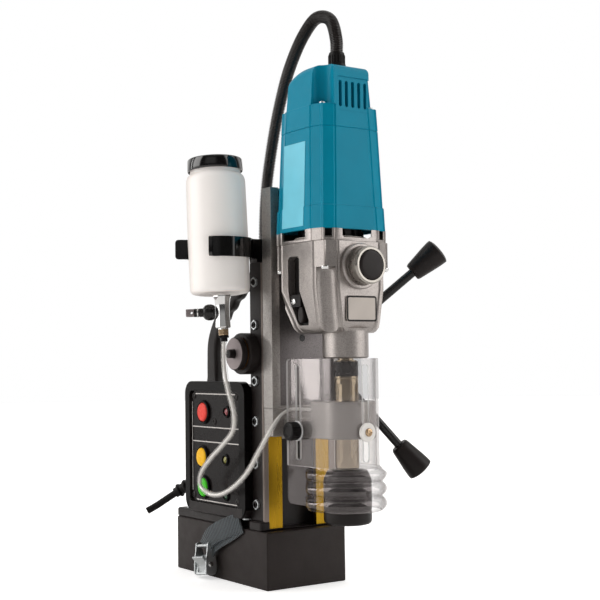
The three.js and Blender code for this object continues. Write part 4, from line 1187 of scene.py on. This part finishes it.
def corner_posts(half_x, front, back, inset):
    """The four corner points of a square, each moved inwards by an inset."""
    return [(sx * (half_x - inset), (front + inset) if sy < 0 else (back - inset))
            for sx in (-1, 1) for sy in (-1, 1)]


def gearbox_block():
    """The housing without its neck: corners fluted up to a ledge, and the window let in."""
    half = gearbox.high.x
    front = gear_front
    back = cover.high.y
    top = gearbox.high.z
    sections = [(gear_low, 12.0, 8.0, 26.0), (gear_low + 1.6, 8.6, 4.6, 23.4),
                (gear_low + 5.5, 5.6, 2.0, 21.0), (gear_low + 12, 4.4, 1.2, 18.0),
                (gear_low + 45, 0.0, 0.0, 0.0), (top - 0.35, 0.0, 0.0, 0.0), (top, 0.4, 0.4, 0.4)]
    rings = [flat("z", columned(half - side, front + ahead, back - behind), z)
             for z, side, ahead, behind in sections]
    lean_in = 0.075
    flutes = []
    for x, y in corner_posts(half, front, back, 2.5):
        cutter = rod(12.4, gear_low - 20, gear_ledge, 48).moved(x, y)
        for p in cutter.points:
            p.x -= math.copysign(lean_in, x) * (gear_ledge - p.z)
            p.y += 0.02 * (gear_ledge - p.z)
        flutes.append(cutter)
    opening = prism("x", WINDOW, -half - 4, -half + 9)
    return carve(loft(rings), flutes + [opening])


def build_gearbox():
    front = gear_front
    back = cover.high.y
    neck = [(0, 241), (21.8, 241), (23.6, 242.6), (23.6, gear_low + 2), (25.4, gear_low + 4.5),
            (0, gear_low + 4.5)]
    snout = turned(neck, 72, "z", (0, spindle_y, 0))
    pad = block((-30, 30), (back - 3, gearbox.high.y), (318, gearbox.high.z))
    step = turned([(0, front + 2), (23.4, front + 2), (23.4, front - 3.6), (22.2, front - 5),
                   (20.2, front - 5), (19.2, front - 4.2), (19.0, front - 13),
                   (0, front - 13)], 72, "y", (0, 0, selector.mid.z))
    body = join(gearbox_block(), snout, pad, step)
    piece("gearbox_body", body, "silver_paint", "head", node="gearbox_housing", bevel=0.7, segments=3,
          crease=30)
    places = [(x, y, gear_ledge) for x, y in corner_posts(gearbox.high.x, front, back, 6.4)]
    heads = repeated(screw_head(4.5, 3.4), -Z, places)
    piece("gearbox_screws", heads, "chrome", "head", slot="zinc_plate", bevel=0.15)


def build_brush_gear():
    """Behind the side window: terminal block, screw, cable and oval grommet."""
    half = gearbox.high.x
    face = -half + 2.0
    deep = -half + 9
    piece("window_floor", prism("x", WINDOW, deep - 0.3, deep + 0.3), "black_plastic", "head")
    terminal_block = prism("x", rounded(-149, -131.5, 294, 307, 1.5), face, deep)
    piece("brush_block", terminal_block, "black_plastic", "head", bevel=0.6)
    terminal = facing(screw_head(3.4, 1.8), -X, (face, -137.5, 300))
    piece("brush_screw", terminal, "chrome", "head", slot="zinc_plate", bevel=0.1)
    grommet = [(5.0 * math.cos(turn) - 147.5, 8.5 * math.sin(turn) + 286) for turn in spin(32)]
    piece("brush_grommet", prism("x", grommet, face + 0.5, deep), "brown_plastic", "head",
          slot="black_plastic", bevel=1.4, segments=3)
    cable = [(-39, -146, 306), (-40.5, -146.5, 316), (-39, -144, 326), (-36.5, -141, 338)]
    cable = even(curve(cable, 6), 1.5)
    piece("brush_cable", sweep(cable, circle(1.7, 16)), "black_rubber", "head")


def build_selector():
    """The speed selector: a collar machined bright, and the dark knob in it."""
    front = gear_front
    knob_z = selector.mid.z
    tip = selector.low.y
    sleeve = turned([(18.9, front - 6.5), (19.25, front - 7), (19.25, tip + 3.6), (17.6, tip + 1.6),
                     (15.7, tip + 1.6), (15.5, tip + 3.2), (15.5, front - 12), (18.9, front - 6.5)], 72, "y",
                    (0, 0, knob_z))
    piece("selector_sleeve", sleeve, "machined_steel", "head")
    knob = [(0, tip), (11.8, tip + 0.05), (13.9, tip + 0.4), (14.8, tip + 1.2), (15.1, tip + 2.6),
            (14.6, tip + 3.2), (14.6, front - 9), (0, front - 9)]
    piece("selector_cap", turned(knob, 72, "y", (0, 0, knob_z)), "brown_plastic", "speed_selector",
          node="selector_knob", slot="black_plastic", crease=40)


def build_rating_plate():
    """The plate is left blank inside its border."""
    face_y = plate.low.y
    low, high = plate.low.z + 1, plate.high.z - 2
    line = 1.8
    outer = rounded(plate.low.x, plate.high.x, low, high, 2.8, 6)
    inner = rounded(plate.low.x + line, plate.high.x - line, low + line, high - line, 1.5, 6)
    piece("plate_face", prism("y", outer, face_y + 0.12, plate.high.y), "label_silver", "head",
          node="rating_plate")
    rings = [flat("y", outer, face_y), flat("y", inner, face_y), flat("y", inner, face_y + 0.3),
             flat("y", outer, face_y + 0.3)]
    piece("plate_border", loft(rings, closed=True), "label_border", "head", slot="black_plastic")


def build_cover():
    """The vented ring between gearbox and motor."""
    half = cover.high.x
    front, back = gear_front + 0.3, cover.high.y
    low, high = cover.low.z, cover.high.z
    levels = ((low, 0.5), (low + 0.5, 0.0), (high, 0.0))
    body = loft([flat("z", columned(half, cover.low.y + 1.2, back, 0.8, shrink), z) for z, shrink in levels])
    room = prism("z", rounded(-half + 3.5, half - 3.5, front + 4, back - 4, 11), low + 3, high + 1)
    side_vent = prism("x", [(motor_y - 17, low + 4.5), (motor_y - 15, low + 3), (motor_y + 24, low + 3),
                            (motor_y + 26, low + 4.5), (motor_y + 26, high + 1), (motor_y - 17, high + 1)],
                      -half - 3, half + 3)
    front_vent = prism("y", [(-16, low + 3.6), (15, low + 3.6), (19, low + 5.5), (19, high + 1),
                             (-18, high + 1), (-18, low + 5)], cover.low.y - 3, motor_y)
    piece("cover_ring", carve(body, [room, side_vent, front_vent]), "silver_paint", "head",
          node="gearbox_cover", bevel=0.45)


def build_fan():
    """The baffle and the fan that show through the cover's vents."""
    low, high = cover.low.z, cover.high.z
    baffle = turned([(7, low + 3.2), (36, low + 3.2), (38, low + 5.4), (37.4, low + 6.2), (34, low + 4.4),
                     (7, low + 4.4), (7, low + 3.2)], 72, "z", (0, motor_y, 0))
    piece("fan_baffle", baffle, "label_silver", "head", slot="silver_paint")
    drum = turned([(25, low + 4.6), (30, low + 4.6), (32.5, high + 2), (32.5, high + 5), (25, high + 5),
                   (25, low + 4.6)], 72, "z", (0, motor_y, 0))
    blade = block((30, 34.5), (-0.6, 0.6), (-3.0, 3.0)).turned("X", 28)
    blades = together(blade.turned("Z", 20 * i) for i in range(18))
    piece("fan_blades", drum + blades.moved(0, motor_y, high - 2.4), "black_plastic", "rotor")


# ------------------------------------------------------------------ motor
FLARE = 0.8
band_top = motor.low.z + 24.5
hood_shoulder = 500.0
hood_front = cap.low.y + 0.4


def motor_half(z):
    """Half the width of the motor housing at a height, without the flared band at its foot."""
    share = (z - motor.low.z) / (motor.high.z - motor.low.z)
    return motor.high.x - 0.8 + (cap.high.x - motor.high.x + 0.8) * share


def build_motor():
    joint = motor.high.z
    levels = [(motor.low.z, FLARE), (band_top - 1.2, FLARE), (band_top, 0.0)]
    levels += [(band_top + (joint - 0.5 - band_top) * i / 6, 0.0) for i in range(1, 7)]
    levels += [(joint, -0.5)]
    wall = 3.0

    def section(z, extra, inset=0.0):
        half = motor_half(z) + extra - inset
        return flat("z", columned(half, motor_y - half, motor_y + half, 1.0 if inset == 0 else 0.3), z)

    outside = [section(z, extra) for z, extra in levels]
    inside = [section(z, 0.0, wall) for z, extra in reversed(levels)]
    piece("motor_shell", loft(outside + inside, closed=True), "teal_plastic", "head", node="motor_housing",
          bevel=0.35, crease=24)


def build_stripe():
    """A plain lighter stripe on the motor's left face."""
    low, high = 376.0, 463.0
    thick = 0.4
    corners = [(motor_half(low) + FLARE, low), (motor_half(band_top) + FLARE, band_top - 1.0),
               (motor_half(band_top), band_top + 0.4), (motor_half(high), high)]
    rows = [[Vector((-x - thick, y, z)) for y in (-121.0, -159.0)] for x, z in corners]
    inner = [[p + X * 0.6 for p in row] for row in rows]
    piece("side_stripe", sheet(rows, inner), "stripe_blue", "head", slot="teal_plastic", crease=60)


def dome_outline(inset, top, front, back, foot):
    """The cap seen from the side: upright at the front, falling away in a long curve to the back."""
    nose = 7.0 - min(inset, 6.0) * 0.5
    rise = top - foot - 8 - inset
    run = (front + 34) - (back - inset)
    outline = [(front + inset, foot)]
    outline += arc(front + inset + nose, top - inset - nose, nose, 180, 90, 6)
    steps = 16
    for i in range(steps + 1):
        angle = math.pi / 2 * i / steps
        outline.append((front + 34 - run * math.sin(angle), foot + 8 + rise * math.cos(angle)))
    outline.append((back - inset, foot))
    return outline


def hood_dome(half, foot):
    """The hood above the band: side profiles laid across X, drawn in towards rounded edges."""
    rounding = 9.0
    turns = [math.pi / 2 * i / 9 for i in range(10)]
    spread = [(half - rounding * (1 - math.cos(turn)), rounding * (1 - math.sin(turn))) for turn in turns]
    spread = [(-x, inset) for x, inset in spread] + [(x, inset) for x, inset in reversed(spread)]
    rings = []
    for x, inset in spread:
        outline = dome_outline(inset, cap.high.z, hood_front, cap.high.y - 0.4, foot)
        rings.append([(x * (1 - (z - hood_shoulder) * 0.0022), y, z) for y, z in outline])
    return loft(rings)


def hood_openings():
    """The room inside, the framed vent with its five slots, and the hole for the gland."""
    rooms = [(33, 35, 34, 24, cap.low.z - 1), (31, 35, 30, 28, 492), (31, 35, 30, 28, 505),
             (26, 32, 5, 14, 531)]
    room = loft([flat("z", rounded(-side, side, motor_y - ahead, motor_y + behind, radius, 6), z)
                 for side, ahead, behind, radius, z in rooms])
    rim = prism("y", rounded(-19.5, 24.0, 493.0, 528.5, 4.5, 6), hood_front - 5, hood_front + 1.1)
    slots = [prism("y", rounded(2.3 + 7.9 * i - 1.9, 2.3 + 7.9 * i + 1.9, 497.4, 524.4, 1.85, 6),
                   hood_front - 5, hood_front + 14) for i in (-2, -1, 0, 1, 2)]
    gland_hole = rod(7.3, cap.high.z - 14, cap.high.z + 2, 40, "z", (0, gland.mid.y, 0))
    return [room, rim, gland_hole] + slots


def build_motor_cap():
    joint = cap.low.z
    foot_half = cap.high.x

    def band(z, shrink):
        half = foot_half - (z - joint) * 0.045 - shrink
        return flat("z", columned(half, motor_y - half, motor_y + half), z)

    foot = loft([band(joint, 0.5), band(joint + 0.5, 0), band(hood_shoulder - 0.8, 0),
                 band(hood_shoulder, 0.8)])
    square = (foot_half - 0.9, motor_y - foot_half + 0.9, motor_y + foot_half - 0.9)
    flutes = [rod(12.6, hood_shoulder - 2, cap.high.z + 20, 48, "z", (x, y, 0))
              for x, y in corner_posts(*square, 5.5)]
    body = join(foot, carve(hood_dome(foot_half - 1.3, hood_shoulder - 0.7), flutes))
    body = carve(body, hood_openings())
    piece("motor_hood", body, "teal_plastic", "head", node="motor_cap", bevel=0.45, segments=3, crease=30)
    places = [(x, y, hood_shoulder - 0.6) for x, y in corner_posts(*square, 8.2)]
    heads = repeated(screw_head(3.4, 2.4), Z, places)
    piece("hood_screws", heads, "zinc_plate", "head", bevel=0.12)


def build_gland():
    at = (0, gland.mid.y, 0)
    base, top = cap.high.z, gland.high.z
    profile = [(0, base - 5), (7, base - 5), (7, base + 0.2), (9.2, base + 0.2), (9.4, base + 0.8),
               (9.4, base + 5.2), (8.9, base + 5.8), (8.3, base + 6.2), (8.3, top - 2.4), (7.9, top - 0.4),
               (7.3, top), (0, top)]
    body = turned(profile, 56, "z", at)
    rib = block((8.0, 8.9), (-0.55, 0.55), (base + 6, top - 3))
    ribs = together(rib.turned("Z", 18 * i).moved(*at) for i in range(20))
    piece("gland_nut", body, "black_plastic", "head", node="conduit_gland")
    piece("gland_ribs", ribs, "black_plastic", "head", bevel=0.2)


CONDUIT_PATH = [(0, -160, 558), (0, -160, 572), (0, -150, 596), (0, -126, 604), (0, -101, 591),
                (0, -73, 560), (0, -53, 523), (0, -37, 480), (0, -24, 430), (0, -19.5, 380),
                (0, -21.5, 340.4)]


def build_conduit():
    pitch = 1.7
    samples = 4
    path = even(curve(CONDUIT_PATH, 10), pitch / samples)
    radii = [6.8, 6.8, 5.7, 5.7]
    sections = [circle(radii[i % samples], 20) for i in range(len(path))]
    hose = piece("ribbed_conduit", sweep(path, sections, X), "dark_tube", None, node="cable_conduit",
                 slot="black_rubber", crease=35)
    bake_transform(hose)


# ------------------------------------------------------------------ guard, arbor and shaft
def u_path(radius, back, arc_steps, straight_steps):
    """Points and outward directions along a U round the spindle, from the left wing to the right."""
    wing = [back + (spindle_y - back) * (i / straight_steps) ** 1.7 for i in range(straight_steps)]
    left = [(Vector((-radius, y, 0)), -X) for y in wing]
    nose = [(Vector((radius * x, spindle_y + radius * y, 0)), Vector((x, y, 0)))
            for x, y in arc(0, 0, 1, 180, 360, arc_steps)]
    return left + nose + [(Vector((radius, y, 0)), X) for y in reversed(wing)]


def build_guard():
    radius = guard.high.x
    thick = 2.4
    rows = 14
    corner = 4.5
    spots = u_path(radius, guard.high.y, 48, 14)
    outer, inner = [], []
    for row in range(rows + 1):
        share = row / rows
        outer_row, inner_row = [], []
        for at, out in spots:
            edge = abs(at.y - guard.high.y)
            top = guard.high.z
            if abs(at.x) > radius - 0.01 and edge < corner:
                top -= corner - math.sqrt(max(0.0, corner ** 2 - (corner - edge) ** 2))
            z = guard.low.z + (top - guard.low.z) * share
            outer_row.append(Vector((at.x, at.y, z)))
            inner_row.append(Vector((at.x, at.y, z)) - out * thick)
        outer.append(outer_row)
        inner.append(inner_row)
    slot_low, slot_high, slot_half = 137.0, 235.0, 3.6
    side = prism("x", rounded(-128 - slot_half, -128 + slot_half, slot_low, slot_high, 3.4, 8),
                 -radius - 5, -radius + 6)
    face = prism("y", rounded(-slot_half, slot_half, slot_low, slot_high, 3.4, 8),
                 guard.low.y - 3, guard.low.y + 6)
    shield = piece("guard_shield", carve(sheet(outer, inner), [side, face]), "clear_plastic", "guard",
                   node="chip_guard", crease=40)
    shield.data.materials.append(PAINT["clear_edge"])
    for polygon in shield.data.polygons:
        at = polygon.center / MM
        if at.y > spindle_y:
            out = Vector((math.copysign(1, at.x), 0, 0))
        else:
            out = Vector((at.x, at.y - spindle_y, 0)).normalized()
        if abs(polygon.normal.dot(out)) < 0.6:
            polygon.material_index = 1


def build_skirt():
    back = skirt.high.y
    low, high = skirt.low.z, skirt.high.z
    wing = guard.high.x + 0.9
    reach = skirt.high.x - 2.6
    swell = 2.6
    thick = 1.5
    rows = 40
    spots = u_path(wing, back, 64, 22)
    outer, inner = [], []
    corner = 7.0
    for row in range(rows + 1):
        share = row / rows
        outer_row, inner_row = [], []
        for at, out in spots:
            left = at.x < 0 and at.y > spindle_y
            run = min(1.0, max(0.0, (-143 - at.y) / 9)) if left else 1.0
            weight = run * run * (3 - 2 * run)
            edge = back - at.y
            foot = low
            if left and edge < corner:
                foot += corner - math.sqrt(max(0.0, corner ** 2 - (corner - edge) ** 2))
            foot += 4.5 * (1 - weight)
            z = foot + (high - foot) * share
            wave = swell * (2 * abs(math.sin(share * 3 * math.pi)) ** 0.8 - 1)
            rim = 1.2 * math.exp(-((share - 1) / 0.05) ** 2)
            push = weight * (reach - wing + wave) * min(1.0, (1 - share) / 0.12) + rim
            spot = Vector((at.x, at.y, z)) + out * push
            outer_row.append(spot)
            inner_row.append(spot - out * thick)
        outer.append(outer_row)
        inner.append(inner_row)
    piece("wavy_skirt", sheet(outer, inner), "smoked_vinyl", "guard", node="guard_skirt", crease=50)


def build_guard_knob():
    knob = Box("guard_knob")
    at = (0, knob.mid.y, knob.mid.z)
    left = knob.low.x + 2.2
    grip = [(0, left + 1.0), (5.6, left + 1.0), (6.4, left), (8.2, left), (9.3, left + 0.9), (9.5, left + 3),
            (9.5, left + 10.2), (8.8, left + 11.4), (0, left + 11.4)]
    body = turned(grip, 56, "x", at)
    places = [(0, at[1] + 10.1 * math.cos(turn), at[2] + 10.1 * math.sin(turn)) for turn in spin(18)]
    flutes = [rod(1.1, left - 2, left + 14, 16, "x", place) for place in places]
    stud = rod(3, left + 11, knob.high.x, 24, "x", at)
    piece("clamp_knob", carve(body, flutes) + stud, "black_plastic", "guard_clamp", node="guard_knob",
          bevel=0.25, crease=40)
    washer = turned([(3.2, left + 11.5), (9.8, left + 11.5), (10.3, left + 12.0), (10.3, left + 12.6),
                     (3.2, left + 12.6), (3.2, left + 11.5)], 56, "x", at)
    piece("clamp_washer", washer, "clear_edge", "guard_clamp", slot="white_nylon")


def build_guard_screw():
    screw = Box("guard_screw")
    centre = (0, 0, screw.mid.z)
    front = guard.low.y
    disc = turned([(0, front - 2.5), (8.8, front - 2.5), (9.6, front - 1.9), (9.6, front - 0.4),
                   (0, front - 0.4)], 56, "y", centre)
    shank = rod(2.5, front, screw.high.y, 20, "y", centre)
    piece("guard_washer", disc + shank, "white_nylon", "head", node="guard_screw")
    head = facing(screw_head(4.2, 2.1), -Y, (0.6, front - 2.4, screw.mid.z))
    piece("guard_screw_head", head, "pale_brass", "head", slot="brass", bevel=0.15)


def build_spindle():
    at = (0, spindle_y, 0)
    bore_top = 322.0
    upper = 223.0
    neck_low = 239.0
    profile = [(0, shaft.low.z), (6, shaft.low.z), (6, holder.high.z + 1), (11.6, holder.high.z + 1),
               (12.4, holder.high.z + 2), (12.4, upper - 4), (12.0, upper - 3.6), (12.0, upper - 2.8),
               (12.4, upper - 2.4), (12.4, upper), (11.2, upper), (11.2, neck_low), (8, neck_low),
               (8, bore_top), (0, bore_top)]
    body = turned(profile, 72, "z", at)
    slot_depth = 1.1
    flats = [block((-2.4, 2.4), (12.4 - slot_depth, 15), (holder.high.z + 8, upper - 8))
             .turned("Z", 90 * i + 20).moved(*at) for i in range(4)]
    piece("arbor_shaft", carve(body, flats), "champagne_steel", "spindle", node="spindle_shaft",
          slot="machined_steel", bevel=0.25, crease=30)
    sleeve = [(11.3, upper - 0.2), (12.2, upper - 0.2), (12.6, upper + 0.6), (12.6, upper + 14.5),
              (11.9, upper + 15.2), (11.3, upper + 15.2), (11.3, upper - 0.2)]
    piece("drive_sleeve", turned(sleeve, 64, "z", at), "dark_satin", "spindle", slot="black_oxide")


def build_holder():
    """The cutter holder under the shaft, with its two set screw holes."""
    low, high = holder.low.z, holder.high.z
    r = holder.high.x
    chuck = [(0, low + 3), (10, low + 3), (10, low), (r - 5.5, low), (r - 2.2, low + 0.8),
             (r - 0.5, low + 2.6), (r, low + 5), (r, low + 13), (r - 0.6, low + 13.6), (r - 0.6, low + 14.6),
             (r, low + 15.2), (r, low + 44), (r - 0.9, low + 47.5), (20.6, high - 1), (19, high),
             (6.2, high), (6.2, low + 20), (0, low + 20)]
    body = turned(chuck, 96, "z", (0, spindle_y, 0))
    screws = [rod(3.4, 15, 40, 24, "y").turned("Z", turn).moved(0, spindle_y, low + 32) for turn in (20, 200)]
    piece("cutter_holder", carve(body, screws), "black_oxide", "spindle", node="arbor_holder", bevel=0.3,
          crease=30)


def build_drive():
    """The gears and windings inside the housings."""
    for node in ("spindle_gear", "lay_gear", "armature"):
        keep(node, "machined_steel", 0.15)
    keep("stator", "copper_winding", 0.6)


# ------------------------------------------------------------------ build the machine
for build in (build_frame, build_column_edges, build_gib_screws, build_base_screws, build_cover_screws,
              build_rim, build_handle, build_pinion_boss, build_panel, build_panel_lines, build_buttons,
              build_lamps, build_cord, build_strap, build_buckle, build_bottle, build_clip, build_tap,
              build_tap_lever, build_hose, build_capstan, build_arms, build_slide, build_bracket,
              build_gearbox, build_brush_gear, build_selector, build_rating_plate, build_cover,
              build_fan, build_motor, build_stripe, build_motor_cap, build_gland, build_conduit,
              build_guard, build_skirt, build_guard_knob, build_guard_screw, build_spindle, build_holder,
              build_drive):
    build()


# ------------------------------------------------------------------ floor, light and camera
VIEW_TURN = math.radians(34.895)
VIEW_TILT = math.radians(2.813)
VIEW_ROLL = math.radians(-0.711)
VIEW_PLACE = Vector((-0.75047, -1.16384, 0.24027))
VIEW_LENS = 72.95


def build_floor():
    radius = 6.0
    mesh = bpy.data.meshes.new("floor")
    rim = [(radius * math.cos(turn), radius * math.sin(turn), 0.0) for turn in spin(64)]
    mesh.from_pydata(rim, [], [tuple(range(64))])
    floor = bpy.data.objects.new("floor", mesh)
    scene.collection.objects.link(floor)
    paint = Paint("floor", "fbfaf9", 0.7, Emission_Color=(1, 1, 1, 1)).mottle(400, 0.01)
    seen = paint.add("ShaderNodeLightPath").outputs["Is Camera Ray"]
    paint.put(paint.level(seen, 0.0, 1.0, 0.0, 0.5), paint.shader.inputs["Emission Strength"])
    mesh.materials.append(paint.done())


# Panels of light: from and to bearing in degrees (0 is behind the camera, right is positive), from
# and to height, edge softness in degrees, strength.
LIGHT_PANELS = [
    (-98, -62, -0.05, 0.8, 4, 3.3),
    (-113.0, -107.6, -0.1, 0.5, 0.4, 4.2),
    (-38, 8, 0.1, 0.7, 9, 0.28),
    (56, 106, -0.05, 0.8, 6, 2.4),
    (124, 185, -0.1, 0.9, 6, 0.8),
    (-185, -124, -0.1, 0.9, 6, 0.8),
]


def light_strength(sky, around, height):
    """How bright the studio is in a direction: the panels, a soft top and a faint glow all round."""
    def step(value, low, high):
        inputs = {"Value": value, "From Min": low, "From Max": high}
        return sky.add("ShaderNodeMapRange", inputs, interpolation_type="SMOOTHSTEP").outputs[0]

    def both(a, b):
        return sky.maths("MULTIPLY", a, b)

    total = sky.maths("ADD", both(step(height, 0.72, 0.9), 0.6), 0.06)
    for start, end, low, high, soft, strength in LIGHT_PANELS:
        start, end, soft = (math.radians(v) for v in (start, end, soft))
        inside = both(step(around, start - soft, start + soft), step(around, end + soft, end - soft))
        tall = both(step(height, low - 0.08, low + 0.08), step(height, high + 0.08, high - 0.08))
        total = sky.maths("ADD", total, both(both(inside, tall), strength))
    return total


def build_light():
    """A white studio: bright panels to the left and right, softer ones ahead and overhead."""
    world = bpy.data.worlds.new("studio")
    scene.world = world
    world.use_nodes = True
    world.node_tree.nodes.clear()
    sky = Wiring(world.node_tree)
    looking = sky.add("ShaderNodeTexCoord").outputs["Generated"]
    turn = sky.add("ShaderNodeVectorRotate", {"Vector": looking, "Angle": VIEW_TURN}, rotation_type="Z_AXIS")
    parts = sky.add("ShaderNodeSeparateXYZ", {"Vector": turn.outputs[0]})
    ahead = sky.maths("MULTIPLY", parts.outputs["Y"], -1.0)
    around = sky.maths("ARCTAN2", parts.outputs["X"], ahead)
    strength = light_strength(sky, around, parts.outputs["Z"])
    ray = sky.add("ShaderNodeLightPath").outputs["Is Camera Ray"]
    lit = sky.add("ShaderNodeBackground", {"Color": (1.0, 0.985, 0.97, 1.0), "Strength": strength})
    seen = sky.add("ShaderNodeBackground", {"Color": (1.0, 1.0, 1.0, 1.0), "Strength": 1.0})
    both = sky.add("ShaderNodeMixShader", {0: ray, 1: lit.outputs[0], 2: seen.outputs[0]})
    sky.add("ShaderNodeOutputWorld", {"Surface": both.outputs[0]})
    scene.view_settings.view_transform = "Standard"


def build_camera():
    data = bpy.data.cameras.new("camera")
    data.lens = VIEW_LENS
    camera = bpy.data.objects.new("camera", data)
    scene.collection.objects.link(camera)
    forward = Vector((math.sin(VIEW_TURN) * math.cos(VIEW_TILT), math.cos(VIEW_TURN) * math.cos(VIEW_TILT),
                      math.sin(VIEW_TILT)))
    right = Vector((math.cos(VIEW_TURN), -math.sin(VIEW_TURN), 0))
    up = right.cross(forward)
    side = right * math.cos(VIEW_ROLL) + up * math.sin(VIEW_ROLL)
    top = up * math.cos(VIEW_ROLL) - right * math.sin(VIEW_ROLL)
    turn = Matrix((side, top, -forward)).transposed().to_4x4()
    camera.matrix_world = Matrix.Translation(VIEW_PLACE) @ turn
    scene.camera = camera


build_floor()
build_light()
build_camera()
